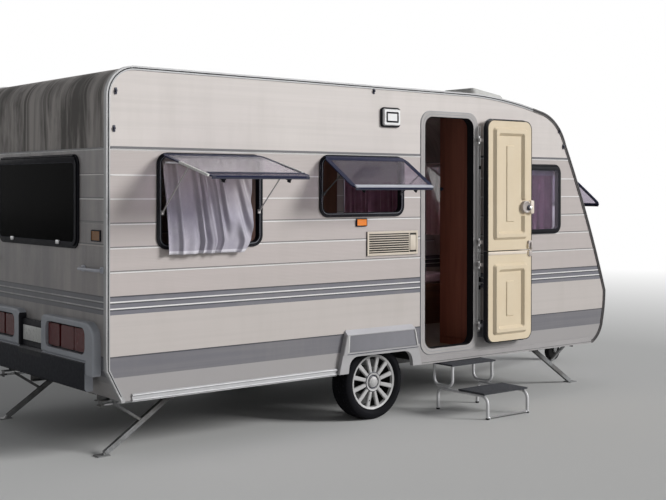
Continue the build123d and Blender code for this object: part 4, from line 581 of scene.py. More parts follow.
# Mesh making. Every shape is a grid of points: rows along one parameter, columns along the other
def grid_faces(rows, columns, wrap_rows=False, wrap_columns=False):
    """Quads between neighbouring rows and columns of a grid, joined round where it wraps."""
    row = np.arange(rows if wrap_rows else rows - 1)[:, None]
    column = np.arange(columns if wrap_columns else columns - 1)[None, :]
    next_row = (row + 1) % rows
    next_column = (column + 1) % columns
    quads = [row * columns + column, row * columns + next_column,
             next_row * columns + next_column, next_row * columns + column]
    return np.stack(quads, -1).reshape(-1, 4).tolist()


def make(name, parts, finish, body="root", crease=38):
    """One piece from parts, each of them points and faces: doubles merged, faces turned outwards,
    shaded smooth up to the crease angle, riding on its body."""
    points, faces, start = [], [], 0
    for part_points, part_faces in parts:
        points.append(np.reshape(part_points, (-1, 3)))
        faces += [[start + corner for corner in face] for face in part_faces]
        start += len(points[-1])
    mesh = bpy.data.meshes.new(name)
    mesh.from_pydata(np.concatenate(points).tolist(), [], faces)
    shell = bmesh.new()
    shell.from_mesh(mesh)
    bmesh.ops.remove_doubles(shell, verts=shell.verts, dist=1e-6)
    bmesh.ops.recalc_face_normals(shell, faces=shell.faces)
    shell.to_mesh(mesh)
    shell.free()
    mesh.shade_smooth()
    mesh.set_sharp_from_angle(angle=radians(crease))
    mesh.materials.append(finish)
    piece = bpy.data.objects.new(name, mesh)
    bpy.context.scene.collection.objects.link(piece)
    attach(piece, body)
    return piece


def skinned(loops):
    """A stack of closed loops, skinned from one to the next and capped at both ends."""
    rows, columns = np.shape(loops)[:2]
    faces = grid_faces(rows, columns, wrap_columns=True)
    faces += [list(range(columns))[::-1], [(rows - 1) * columns + i for i in range(columns)]]
    return loops, faces


def ringed(loops):
    """A stack of closed loops whose last one joins back to the first, such as a frame's section."""
    return loops, grid_faces(*np.shape(loops)[:2], True, True)


def rounded_loop(low_u, high_u, low_v, high_v, radius, per_corner=7):
    """Points round a rectangle whose corners are quarter circles."""
    turn = np.linspace(0, pi / 2, per_corner)
    radius = max(radius, 0.0003)
    centres = [(high_u - radius, high_v - radius), (low_u + radius, high_v - radius),
               (low_u + radius, low_v + radius), (high_u - radius, low_v + radius)]
    arcs = [np.stack([u + radius * np.cos(turn + k * pi / 2), v + radius * np.sin(turn + k * pi / 2)], -1)
            for k, (u, v) in enumerate(centres)]
    return np.concatenate(arcs)


def grown(box, by):
    """A box widened by a margin on all four sides."""
    return box[0] - by, box[1] + by, box[2] - by, box[3] + by


def around(u, v, half_u, half_v):
    """A box round a centre."""
    return u - half_u, u + half_u, v - half_v, v + half_v


def beside(u, v, low_u, high_u, low_v, high_v):
    """A box whose edges lie at distances from a point."""
    return u + low_u, u + high_u, v + low_v, v + high_v


def nested(box, radius, steps, place, per_corner=7, fine=1):
    """Loops of a rounded rectangle for steps of inset and height, each set in place. Fine divides each
    of the loop's edges, where the face it lies on is curved."""
    loops = []
    for by, height in steps:
        flat = rounded_loop(*grown(box, -by), radius - by, per_corner)
        share = np.linspace(0, 1, fine, endpoint=False)[None, :, None]
        flat = (flat[:, None] + (np.roll(flat, -1, 0) - flat)[:, None] * share).reshape(-1, 2)
        loops.append(place(*flat.T, height))
    return np.array(loops)


def plate(box, radius, height, bevel, place, foot=0.0):
    """A raised plate: straight sides, a bevel of two facets, and a flat face."""
    steps = [(0, foot), (0, height - bevel), (bevel * 0.3, height - bevel * 0.3), (bevel, height)]
    return skinned(nested(box, radius, steps, place))


def ring(box, radius, width, height, bevel, place, foot=0.0):
    """A raised frame of even width round an opening, bevelled on both edges."""
    steps = [(0, foot), (0, height - bevel), (bevel, height)]
    steps += [(width - by, at) for by, at in reversed(steps)]
    return ringed(nested(box, radius, steps, place))


def turned(profile, centre, axis, segments=64, closed=False, lean=(0.31, 0.17, 0.93)):
    """A profile of radius and distance along the axis, turned about it."""
    profile = np.array(profile, float)[:, :, None, None]
    angle = np.linspace(0, 2 * pi, segments, endpoint=False)[:, None]
    along = np.array(axis, float) / np.linalg.norm(axis)
    first = np.cross(along, lean if abs(along[2]) < 0.9 else (1.0, 0, 0))
    first /= np.linalg.norm(first)
    out = np.cos(angle) * first + np.sin(angle) * np.cross(along, first)
    points = np.array(centre) + profile[:, 0] * out + profile[:, 1] * along
    return ringed(points) if closed else skinned(points)


def low_section(half, edge, crown=None):
    """The section of a low strip: half its width, and the heights of its edges and of its crown."""
    top = [(0, crown)] if crown else []
    return [(-half, -0.001), (-half, edge), *top, (half, edge), (half, -0.001)]


def swept(path, section, upward):
    """A closed section of across and up, carried along a path: across is the path's direction crossed
    with upward, and each corner of the path is mitred."""
    steps = np.diff(path, axis=0)
    steps /= np.linalg.norm(steps, axis=1)[:, None]
    ahead = np.concatenate([steps, steps[-1:]])
    run = ahead + np.concatenate([steps[:1], steps])
    run /= np.linalg.norm(run, axis=1)[:, None]
    across = np.cross(run, upward)
    across /= np.linalg.norm(across, axis=1)[:, None] * np.clip((run * ahead).sum(1), 0.5, 1)[:, None]
    section = np.array(section, float)[None, :, :, None]
    upward = np.array(upward, float)
    return skinned(path[:, None] + section[:, :, 0] * across[:, None] + section[:, :, 1] * upward)


# Places: each turns across, up and height above a face into the frame's X, Y and Z
def stacked(*values):
    return np.stack(np.broadcast_arrays(*values), -1)


def plane(axis, at, out):
    """A face across one axis, and which way along that axis its height counts."""
    def place(u, v, height):
        values = [u, v]
        values.insert("XYZ".index(axis), at + out * height)
        return stacked(*values)
    return place


on_side = {-1: plane("Y", -HALF_WIDTH, -1), 1: plane("Y", HALF_WIDTH, 1)}
on_right = on_side[-1]
on_rear = plane("X", REAR_X, -1)
on_rear_pane = plane("X", REAR_X - 0.020, -1)
on_door = plane("Y", 2 * DOOR_HINGE_Y + 1.025, -1)
on_door_skin = plane("Y", -1.100, 1)
on_wardrobe = plane("X", DOOR_HIGH_X + 0.046, -1)
on_level = plane("Z", 0, 1)
inside = {-1: plane("Y", -INNER_Y, 1), 1: plane("Y", INNER_Y, -1)}
inside_rear = plane("X", REAR_X + 0.03, 1)
in_window = plane("Y", -HALF_WIDTH + 0.010, -1)

# The side outline: columns X, Z, height above its chord of the edge that ends here
OUTLINE = [
    (REAR_X, SIDE_BOTTOM + 0.211, 0), (REAR_X, ROOF_REAR_Z - ROOF_REAR_RADIUS, 0),
    (REAR_X + ROOF_REAR_RADIUS, ROOF_REAR_Z, ROOF_REAR_RADIUS * (1 - sqrt(0.5))),
    (KINK_X - 1.699, ROOF_REAR_Z - 0.019, 0), (KINK_X - 0.887, ROOF_REAR_Z - 0.129, 0.020),
    (KINK_X - 0.555, ROOF_REAR_Z - 0.407, 0.059), (KINK_X, KINK_Z, 0.026),
    (KINK_X - 0.035, KINK_Z - 0.272, 0.008), (KINK_X - 0.176, SIDE_BOTTOM, 0.030),
]


def outline_line(inward, pieces=14):
    """Points along the outline from the low rear corner to the toe: each edge is a circle's arc through
    its ends that rises by its height, and the whole line is moved inward along its normals."""
    points = []
    start = np.array([REAR_X + 0.109, SIDE_BOTTOM])
    share = np.linspace(0, 1, pieces, endpoint=False)[:, None]
    for x, z, height in OUTLINE:
        end = np.array([x, z])
        run = end - start
        length = np.linalg.norm(run)
        outward = np.array([-run[1], run[0]]) / length
        line = start + run * share
        if height:
            radius = length ** 2 / (8 * height) + height / 2
            angle = (share * 2 - 1) * np.arcsin(length / 2 / radius)
            line = (start + end) / 2 + run / length * radius * np.sin(angle) \
                + outward * (radius * np.cos(angle) - radius + height)
        points.append(line)
        start = end
    line = np.concatenate(points + [start[None]])
    run = np.gradient(line, axis=0)
    normal = np.stack([-run[:, 1], run[:, 0]], -1)
    normal /= np.linalg.norm(normal, axis=1)[:, None]
    return line - normal * inward


def read_off(line, known, at):
    """Reads a line at values of its X, column 0, or of its Z, column 1, and gives the other."""
    line = line[np.argsort(line[:, known])]
    return np.interp(at, line[:, known], line[:, 1 - known])


# The front wall's line moved outward by a gap, and the roof's line
FRONT_LINE = {}
for gap in (0.0, 0.024, 0.038):
    line = outline_line(-gap, 30)
    FRONT_LINE[gap] = line[(line[:, 0] > KINK_X - 0.60) & (line[:, 1] > SIDE_BOTTOM + 0.005)]
ROOF_LINE = outline_line(0, 30)
ROOF_LINE = ROOF_LINE[ROOF_LINE[:, 1] > SEAM_Z]
FRONT_HINGE_Z = SEAM_Z - 0.014
FRONT_HINGE_X = read_off(FRONT_LINE[0.0], 1, FRONT_HINGE_Z) + 0.017
FRONT_OPEN = radians(34.8)
FRONT_RAIL_X = read_off(FRONT_LINE[0.0], 1, SEAM_Z) - 0.075
inside_front = plane("X", FRONT_RAIL_X, -1)


def on_front_pane(u, v, height):
    """The outer face of the front pane, which follows the front wall and is turned open about its
    top rail."""
    x = read_off(FRONT_LINE[0.024], 1, v) + height * 0.96 - FRONT_HINGE_X
    z = v + height * 0.3 - FRONT_HINGE_Z
    return stacked(FRONT_HINGE_X + x * cos(FRONT_OPEN) - z * sin(FRONT_OPEN), u,
                   FRONT_HINGE_Z + x * sin(FRONT_OPEN) + z * cos(FRONT_OPEN))


def on_front(u, v, height):
    """The outer face of the locker lid at the foot of the front wall."""
    return stacked(read_off(FRONT_LINE[0.038], 1, v) + height, u, v)


def on_roof(u, v, height):
    """The roof's outer face."""
    return stacked(u, v, read_off(ROOF_LINE, 0, u) + height)


def on_pane(side, hinge_z, angle):
    """The outer face of a side pane that is turned open about its top rail: out is the distance off
    the pane's middle plane, down the distance below the rail, and both turn by the angle."""
    turn = radians(angle)

    def place(u, v, height):
        out = 0.004 + height
        down = hinge_z - v
        y = HALF_WIDTH + 0.016 + out * cos(turn) + down * sin(turn)
        return stacked(u, side * y, hinge_z + out * sin(turn) - down * cos(turn))

    return place


# Curtains and cushions
CLOTH_THICKNESS = 0.0012


def curtain(name, span, wall, depth_at, folds, swell, cloth, seed, edges=None, slant=0.0):
    """A gathered curtain: span is low and high across, then top and bottom. The cloth lies on a base
    line, and its folds are a sine of a phase that speeds up and slows down across the cloth, growing
    down the drop; the hem waves with the folds. Edges move its two sides inward down the drop, and a
    slant leans the folds."""
    low, high, top, bottom = span
    columns, rows = 240, 52
    across = np.linspace(0, 1, columns)[None, :]
    down = np.linspace(0, 1, rows)[:, None]
    phase = 2 * pi * (folds * across + 0.34 * np.sin(2 * pi * (1.7 * across + seed * 0.13))
                      + 0.16 * np.sin(2 * pi * (4.1 * across + seed * 0.37))
                      + 0.10 * down * np.sin(9 * across + seed) - slant * down * across)
    fold = swell * (0.42 + 0.58 * down ** 0.7) * (np.sin(phase) + 0.28 * np.sin(2.3 * phase + 1.1 + seed))
    drift = 0.20 * swell * np.cos(phase) * down
    from_low, from_high = edges(down) if edges else (0 * down, 0 * down)
    u = low + from_low + (high - from_high - low - from_low) * across + drift
    v = top + (bottom - top) * down + 0.10 * swell * np.sin(phase * 0.5 + seed) * down
    points = wall(u, v, depth_at(v) + fold + swell * 1.3)
    piece = make(name, [(points, grid_faces(rows, columns))], cloth, crease=180)
    skin = piece.modifiers.new("cloth thickness", "SOLIDIFY")
    skin.thickness = CLOTH_THICKNESS
    skin.offset = 0
    return piece


def out_of_window(v):
    """How far out the loose curtain lies: straight to the sill, then out of the window."""
    share = np.clip((SEAM_Z - 0.045 - v) / 0.56, 0, 1)
    return 0.036 * share ** 1.2 - 0.028 * (1 - share) ** 3


def loose_edges(down):
    """The loose curtain's edges: the right one drifts in down the drop, and sweeps in at the hem."""
    sweep = np.clip((down - 0.86) / 0.14, 0, 1)
    return 0.022 * down, 0.022 * np.minimum(down / 0.86, 1) + 0.068 * sweep ** 1.4


def pulled_edges(down):
    """The front window curtain's edges: below its header the forward one is drawn in."""
    return 0 * down, 0.012 * np.clip((down - 0.19) / 0.05, 0, 1)


span = (REAR_X + 0.408, REAR_X + 1.125, SEAM_Z - 0.045, SEAM_Z - 0.700)
loose = curtain("loose_window_curtain", span, in_window, out_of_window, 8, 0.0165, sheer_cloth,
                1, loose_edges, 2.2)
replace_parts(loose, "curtain_rear_side")

# Columns: name, low and high across, top Z, wall, seed, edges
INNER_CURTAINS = [
    ("front_right_curtain", KINK_X - 1.393, KINK_X - 0.653, SEAM_Z + 0.004, inside[-1], 3, pulled_edges),
    ("front_left_curtain", KINK_X - 1.393, KINK_X - 0.653, SEAM_Z + 0.004, inside[1], 4, None),
    ("rear_left_curtain", REAR_X + 0.38, REAR_X + 1.2, SEAM_Z + 0.004, inside[1], 5, None),
    ("rear_window_curtain", -0.65, 0.65, SEAM_Z - 0.021, inside_rear, 6, None),
]
for name, low, high, top, wall, seed, edges in INNER_CURTAINS:
    bottom = SEAM_Z - 0.698
    hung = curtain(name, (low, high, top, bottom), wall, lambda v: 0.004, round((high - low) / 0.078), 0.0085,
                   mauve_cloth, seed, edges)
    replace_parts(hung, "curtains")

# Curtains drawn to the ends of the front window, on a rail of their own. Their light colour is painted light,
# as of the sky through the opened window.
for side, word in SIDES:
    low, high = sorted((side * 0.42, side * 0.90))
    hung = curtain(f"bow_{word}_curtain", (low, high, SEAM_Z - 0.04, SEAM_Z - 0.72), inside_front,
                   lambda v: 0.0, 7, 0.012, backlit_rose_cloth, 7 + side)

VOXEL = 0.014
SWELL_CAP = 0.008
SWELL_FRAMES = 16


def bake(piece):
    """Puts the modifiers' result into the mesh."""
    graph = bpy.context.evaluated_depsgraph_get()
    mesh = bpy.data.meshes.new_from_object(piece.evaluated_get(graph))
    piece.modifiers.clear()
    piece.data = mesh


def corners_of(piece):
    """The mesh's points."""
    flat = np.zeros(len(piece.data.vertices) * 3)
    piece.data.vertices.foreach_get("co", flat)
    return flat.reshape(-1, 3)


def inflate(piece):
    """Voxel remesh, cloth under pressure without gravity, movement capped, one subdivision."""
    remesh = piece.modifiers.new("even mesh", "REMESH")
    remesh.mode = "VOXEL"
    remesh.voxel_size = VOXEL
    bake(piece)
    start = corners_of(piece)
    cloth = piece.modifiers.new("swell", "CLOTH")
    cloth.settings.use_pressure = True
    cloth.settings.uniform_pressure_force = 4
    cloth.settings.effector_weights.gravity = 0
    for step in range(1, SWELL_FRAMES + 1):
        bpy.context.scene.frame_set(step)
    bake(piece)
    bpy.context.scene.frame_set(1)
    shift = corners_of(piece) - start
    length = np.linalg.norm(shift, axis=1)[:, None]
    shift *= np.minimum(1, SWELL_CAP / np.maximum(length, 1e-9))
    held_up = np.maximum(shift[:, 2], SEAT_TOP + 0.001 - start[:, 2])
    shift[:, 2] = np.where(start[:, 2] < SEAT_TOP + 0.03, held_up, shift[:, 2])
    piece.data.vertices.foreach_set("co", (start + shift).ravel())
    smooth = piece.modifiers.new("smooth", "SUBSURF")
    smooth.levels = smooth.render_levels = 1
    bake(piece)
    piece.data.shade_smooth()


# Four seat cushions: rounded blocks, swollen by cloth pressure. Columns: bench, low and high X
BENCHES = [("rear", REAR_X + 0.120, DOOR_LOW_X - 1.483), ("front", DOOR_HIGH_X + 0.281, KINK_X - 0.407)]
z0, z1 = SEAT_TOP + 0.004, SEAT_TOP + 0.090
BLOCK = [(0.022, z0), (0.006, z0 + 0.006), (0, z0 + 0.022), (0, z1 - 0.022), (0.006, z1 - 0.006), (0.022, z1)]
for name, low, high in BENCHES:
    for side, word in SIDES:
        y_low, y_high = sorted((side * 1.011, side * 0.459))
        box = (low + 0.006, high - 0.006, y_low + 0.004, y_high - 0.004)
        piece = make(f"{name}_{word}_cushion", [skinned(nested(box, 0.03, BLOCK, on_level))], seat_cloth,
                     crease=180)
        inflate(piece)
        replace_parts(piece, "cushions")

# Road tyres. Columns of the sidewall, which has a ridge round it: Y off the middle, radius
SIDEWALL = np.array([
    (0.0790, 0.2120), (0.0850, 0.2180), (0.0905, 0.2260), (0.0945, 0.2330), (0.0966, 0.2360),
    (0.0975, 0.2420), (0.0968, 0.2520), (0.0952, 0.2600), (0.0925, 0.2680), (0.0880, 0.2760),
    (0.0830, 0.2812),
])
CUT_FROM_RADIUS = 0.281
TREAD_HALF = 0.0655
SHOULDER = 0.012
GROOVES_AT = np.array([0.014, 0.041])
GROOVE_DEPTH = 0.0065
SLOT_DEPTH = 0.0045
SLOT_SHARE = 0.17
SLOTS_ROUND = 70


def road_tyre(side, word):
    """A turned section. The radius falls by a groove's depth where the section crosses one of four
    grooves, and by a slot's depth where a saw tooth of the angle is inside a slot of its row."""
    tread_y = np.linspace(TREAD_HALF + SHOULDER, -TREAD_HALF - SHOULDER, 61)
    crown = np.maximum(0, (np.abs(tread_y) - TREAD_HALF) / SHOULDER)
    tread_r = WHEEL_RADIUS - 0.0055 * crown ** 1.5
    section_y = np.concatenate([SIDEWALL[:, 0], tread_y, -SIDEWALL[::-1, 0], [-0.06, 0.06]])[:, None]
    section_r = np.concatenate([SIDEWALL[:, 1], tread_r, SIDEWALL[::-1, 1], [0.2111, 0.2111]])[:, None]
    angle = np.linspace(0, 2 * pi, 6 * SLOTS_ROUND, endpoint=False)
    off = np.abs(section_y)
    groove = np.abs(off - GROOVES_AT).min(1)[:, None] < 0.0042
    tooth = (angle * SLOTS_ROUND / (2 * pi) + 9 * off) % 1
    outer_rows = ((off > 0.047) | (off > 0.017) & (off < 0.037)) & (tooth < SLOT_SHARE)
    middle_row = (off < 0.011) & ((tooth + 0.5) % 1 < SLOT_SHARE)
    cut = np.where(groove, GROOVE_DEPTH, np.where(outer_rows | middle_row, SLOT_DEPTH, 0))
    radius = section_r - np.where(section_r > CUT_FROM_RADIUS, cut, 0)
    points = stacked(radius * np.cos(angle), side * WHEEL_Y + section_y,
                     WHEEL_RADIUS + radius * np.sin(angle))
    piece = make(f"{word}_road_tyre", [ringed(points)], rubber, f"wheel_{word}", 30)
    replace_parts(piece, f"tyre_{word}")


for side, word in SIDES:
    road_tyre(side, word)

# Dark inserts in the edge trims
for side, word in SIDES:
    path = on_side[side](*outline_line(0.007)[2:-1].T, 0.006)
    insert = swept(path, low_section(0.0035, 0.0012, 0.002), (0, side, 0))
    make(f"{word}_trim_insert", [insert], seal_rubber)

# In each arch cover, a grey inlay with two pale edges that are painted highlights on its bevels, and a dark
# line below it that is painted shade of a step
ARCH = np.array([(-0.3235, 0.5535), (-0.3155, 0.6765), (0.3325, 0.6765), (0.3605, 0.5535)])
middle = ARCH.mean(0)
for side, word in SIDES:
    wall = on_side[side]
    loops = [wall(*(middle + (ARCH - middle) * grow).T, height)
             for grow, height in ((1.0, 0.0345), (1.0, 0.0395), (0.990, 0.0405))]
    make(f"{word}_arch_inlay", [skinned(loops)], panel_grey)
    # Painted highlights: pale strips along the inlay's slanted ends
    edges = [swept(wall(*(ARCH[ends] + (outward, 0)).T, 0.0440), low_section(0.0035, 0.0015), (0, side, 0))
             for ends, outward in (([0, 1], -0.010), ([3, 2], 0.010))]
    make(f"{word}_arch_edge_highlights", edges, plate_white)
    # Painted shade: a dark line below the inlay, where its step lies in shade
    groove = plate((-0.345, 0.378, 0.5370, 0.5415), 0.0005, 0.0447, 0.0002, wall, 0.0435)
    make(f"{word}_arch_step_shade", [groove], bar_dark)

# Bright strips along the slanted foot of the rear corners
FOOT = np.array([(REAR_X + 0.104, 0.402), (REAR_X - 0.001, 0.606), (REAR_X - 0.001, 0.675)])
for side, word in SIDES:
    strip = swept(on_side[side](*FOOT.T, 0.0055), low_section(0.004, 0.002, 0.0035), (0, side, 0))
    make(f"{word}_corner_strip", [strip], step_chrome)

# Windows. Columns: name, side, low X, length, drop below the seam, height, degrees open, border, bar's
# low and high edge
WINDOWS = [
    ("rear_right", -1, REAR_X + 0.363, 0.853, 0.020, 0.647, 75.7, 0.026, 0.064, 0.072),
    ("kitchen", -1, DOOR_LOW_X - 1.061, 0.837, 0.010, 0.463, 57.0, 0.038, 0.002, 0.030),
    ("front_right", -1, KINK_X - 1.423, 0.802, 0.048, 0.603, 0.0, 0.0225, 0, 0),
    ("rear_left", 1, REAR_X + 0.363, 0.853, 0.020, 0.647, 0.0, 0.0225, 0, 0),
    ("washroom", 1, DOOR_LOW_X - 0.298, 0.460, 0.010, 0.463, 0.0, 0.0225, 0, 0),
    ("front_left", 1, KINK_X - 1.423, 0.802, 0.048, 0.603, 0.0, 0.0225, 0, 0),
]
RAIL_DROP = 0.011
FRAME_FACE = 0.0112


def window_details(name, box, place, wall, edge=0.0225, bar_low=0.0, bar_high=0.0, fine=1):
    """Round one window: a printed border round the pane's edge, a wider one along its top, a fine
    line inside the border of a shut pane, a bar and two latches on an opened one, a grey seal line
    in the frame, and a black lining through the wall."""
    def add(part, shapes, finish, crease=38):
        make(f"{name}_{part}", shapes, finish, crease=crease)

    low, high, bottom, top = box
    left, right, foot, head = low + 0.018, high - 0.018, bottom + 0.018, top - RAIL_DROP - 0.0073
    steps = [(-0.0004, -0.0086), (-0.0004, 0.0010), (edge, 0.0014), (edge, -0.0088)]
    band = (left + 0.02, right - 0.02, head - edge - 0.012, head - 0.001)
    border = [ringed(nested((left, right, foot, head), 0.062, steps, place, 10, fine)),
              plate(band, 0.004, 0.0014, 0.0003, place, -0.0086)]
    add("pane_border", border, pane_border if bar_high else frame_rubber, crease=30)
    if wall:
        lining = ring(grown(box, -0.030), 0.050, 0.003, FRAME_FACE, 0.0005, wall, -0.034)
        add("wall_lining", [lining], frame_rubber)
        seal = ring(grown(box, -0.0225), 0.0575, 0.003, FRAME_FACE, 0.0008, wall, 0.009)
        add("frame_seal", [seal], seal_grey)
    if not bar_high:
        line = (left + 0.024, right - 0.024, foot + 0.024, head - 0.036)
        add("pane_line", [ring(line, 0.038, 0.0014, 0.0012, 0.0003, place, -0.0005)], bar_dark)
        return
    bar = (left + 0.022, right - 0.022, foot + bar_low, foot + bar_high)
    add("pane_bar", [plate(bar, 0.004, 0.010, 0.003, place)], bar_dark if bar_low > 0.01 else light_grey)
    lip = (left + 0.024, right - 0.024, foot + 0.0002, foot + 0.008)
    add("pane_lip", [plate(lip, 0.003, 0.0, 0.003, place, -0.020)], bar_dark)
    latches = []
    for share in (0.15, 0.78):
        u = left + share * (right - left)
        latches.append(plate(around(u, foot + 0.025, 0.016, 0.015), 0.005, -0.0085, 0.003, place, -0.030))
        latches.append(plate(around(u, foot + 0.018, 0.006, 0.016), 0.004, -0.028, 0.003, place, -0.044))
    add("pane_latches", latches, frame_rubber)


for name, side, low, length, drop, height, angle, edge, bar_low, bar_high in WINDOWS:
    top = SEAM_Z - drop
    place = on_pane(side, top - RAIL_DROP, angle)
    box = (low, low + length, top - height, top)
    window_details(name, box, place, on_side[side], edge, bar_low, bar_high)
    if name == "rear_right":
        # Painted highlights: white strips on the lower half of the pane's sides, where its edges catch the
        # light. Columns: across, low and high above its foot
        foot = top - height + 0.018
        strips = [plate(beside(u, foot, 0, 0.017, *ends), 0.003, 0.0060, 0.0015, place, -0.0090)
                  for u, *ends in ((low + 0.0170, 0.020, 0.375), (low + length - 0.0340, 0.110, 0.375))]
rear_pane = (-HALF_WIDTH + 0.387, HALF_WIDTH - 0.387, SEAM_Z - 0.665, SEAM_Z - 0.030)
window_details("rear", rear_pane, on_rear_pane, on_rear)
front_pane = (-HALF_WIDTH + 0.180, HALF_WIDTH - 0.180, SEAM_Z - 0.740, SEAM_Z - 0.008)
window_details("bow", front_pane, on_front_pane, None, 0.03, 0.002, 0.020, 6)
make("rear_right_pane_edge_highlights", strips, plate_white)
heading = (REAR_X + 0.425, REAR_X + 0.60, SEAM_Z - 0.094, SEAM_Z - 0.081)
make("loose_curtain_heading", [plate(heading, 0.002, 0.018, 0.001, in_window, 0.0155)], plate_white)
latches = [plate(around(y, 1.413, 0.02, 0.014), 0.006, 0.012, 0.003, on_rear_pane) for y in (-0.38, 0.38)]
make("rear_pane_latches", latches, step_chrome)

# Curtain rail across the front window
rail_z = SEAM_Z - 0.030
rail_at = (FRONT_RAIL_X - 0.012, -0.92, rail_z)
rail = [turned([(0.009, 0), (0.009, 1.84)], rail_at, (0, 1, 0), 12, lean=(0.2, 0.3, 0.93))]
for y in (-0.90, 0.0, 0.90):
    rail.append(plate(around(y, rail_z, 0.012, 0.006), 0.003, -0.06, -0.003, inside_front, 0.006))
make("bow_curtain_rail", rail, trim_alloy)

# Doorway: a gasket and a groove round the frame, a black lining through the wall, and a hinge strip
opening = (DOOR_LOW_X, DOOR_HIGH_X, DOOR_LOW_Z, DOOR_HIGH_Z)
frame_box = (DOOR_LOW_X - 0.041, DOOR_HIGH_X + 0.047, DOOR_LOW_Z - 0.041, DOOR_HIGH_Z + 0.041)
make("door_frame_gasket", [ring(grown(frame_box, 0.004), 0.104, 0.0055, 0.004, 0.001, on_right),
                           ring(grown(opening, 0.0215), 0.1015, 0.0035, 0.0068, 0.0008, on_right, 0.005)],
     seal_grey)
make("doorway_lining", [ring(opening, 0.080, 0.0032, 0.0066, 0.0008, on_right, -0.0310),
                        ring(grown(opening, 0.030), 0.110, 0.0325, 0.040, 0.003, inside[-1], 0.0003)],
     seal_rubber)
strip = [plate(beside(DOOR_HIGH_X, 0, 0.049, 0.084, 0.600, 2.300), 0.003, 0.006, 0.002, on_right)]
for u in (0.054, 0.076):
    ridge = beside(DOOR_HIGH_X, 0, u, u + 0.004, 0.602, 2.298)
    strip.append(plate(ridge, 0.001, 0.0085, 0.001, on_right, 0.004))
make("door_hinge_strip", strip, trim_alloy)
keepers = [plate(around(DOOR_HIGH_X + 0.071, z, 0.011, half), 0.006, 0.0095, 0.001, on_right, 0.004)
           for z, half in ((1.955, 0.014), (1.03, 0.022), (0.965, 0.018))]
make("door_keeper_slots", keepers, seal_rubber)


# Door furniture
def on_lock(*edges):
    """A box by its edges' distances from the lock, which stands at the leaf's far edge."""
    return beside(DOOR_FAR_X, LOCK_Z, *edges)


def on_split(*edges):
    """A box by its edges' distances from the split between the leaves, at the far edge."""
    return beside(DOOR_FAR_X, DOOR_SPLIT_Z, *edges)


def lock_turned(x, z, profile, segments):
    """A turned part of the lock, which points away from the leaf."""
    return [turned(profile, (DOOR_FAR_X + x, -1.145, LOCK_Z + z), (0, -1, 0), segments)]


COVER_STEPS = [(0, 0.0), (0, 0.014), (0.004, 0.020), (0.012, 0.0228)]
DISH = [(0.052, 0), (0.052, 0.022), (0.049, 0.0275), (0.0455, 0.0285), (0.042, 0.0262), (0.037, 0.0238),
        (0.0005, 0.0232)]
ROSE = [(0.023, 0.0225), (0.023, 0.030), (0.020, 0.032), (0.0005, 0.032)]
KNOB = [(0.012, 0.031), (0.011, 0.038), (0.014, 0.041), (0.0145, 0.048), (0.011, 0.051), (0.0005, 0.052)]
cover = [skinned(nested(on_lock(-0.113, -0.007, -0.049, 0.049), 0.020, COVER_STEPS, on_door, 9)),
         plate(on_lock(-0.050, -0.007, -0.056, 0.056), 0.014, 0.031, 0.005, on_door)]
catch = [plate(on_split(-0.058, -0.009, 0.014, 0.078), 0.012, 0.014, 0.003, on_door),
         plate(on_split(-0.036, -0.016, 0.002, 0.066), 0.008, 0.024, 0.003, on_door, 0.012)]
handle = plate(on_lock(-0.060, 0.026, -0.054, 0.054), 0.016, 0.017, 0.005, on_door_skin, -0.002)
# Columns: name, shapes, finish, leaf
DOOR_PARTS = [
    ("door_lock_cover", cover, pale_cream, "upper"),
    ("door_lock_dish", lock_turned(-0.096, 0.001, DISH, 56), dish_grey, "upper"),
    ("door_lock_rose", lock_turned(-0.067, -0.004, ROSE, 40), bar_dark, "upper"),
    ("door_lock_knob", lock_turned(-0.067, -0.004, KNOB, 40), chrome, "upper"),
    ("door_outer_handle", [handle], pale_cream, "upper"),
    ("leaf_catch", catch, dish_grey, "upper"),
    ("leaf_catch_keeper", [plate(on_split(-0.048, -0.010, -0.056, -0.008), 0.010, 0.011, 0.002, on_door)],
     dish_grey, "lower"),
]
for name, shapes, finish, leaf in DOOR_PARTS:
    make(name, shapes, finish, f"door_{leaf}")
leaf_box = (DOOR_NEAR_X + 0.009, DOOR_FAR_X - 0.009, DOOR_LOW_Z + 0.009, DOOR_HIGH_Z - 0.009)
bead_loop = rounded_loop(*leaf_box, 0.071, 9)
for leaf, corners, split_z in (("upper", bead_loop[:18], DOOR_SPLIT_Z + 0.0045),
                               ("lower", bead_loop[18:], DOOR_SPLIT_Z - 0.0045)):
    line = np.concatenate([[(corners[0][0], split_z)], corners, [(corners[-1][0], split_z)]])
    bead = swept(on_door(*line.T, 0), low_section(0.003, 0.0010), (0, -1, 0))
    make(f"{leaf}_leaf_bead", [bead], seal_rubber, f"door_{leaf}")
lap_box = (DOOR_NEAR_X + 0.012, DOOR_FAR_X - 0.064, DOOR_SPLIT_Z - 0.034, DOOR_SPLIT_Z - 0.007)
make("leaf_lap_strip", [plate(lap_box, 0.004, 0.0035, 0.0015, on_door, -0.0005)], pale_cream,
     "door_lower")

# Awning lamp: a black foot ring and a black inner ring on the white lens
lamp_box = (DOOR_LOW_X - 0.460, DOOR_LOW_X - 0.278, ROOF_REAR_Z - 0.314, ROOF_REAR_Z - 0.174)
make("awning_lamp_rings", [ring(grown(lamp_box, 0.006), 0.028, 0.013, 0.016, 0.002, on_right),
                           ring(grown(lamp_box, -0.029), 0.008, 0.013, 0.0362, 0.001, on_right, 0.033)],
     frame_rubber)

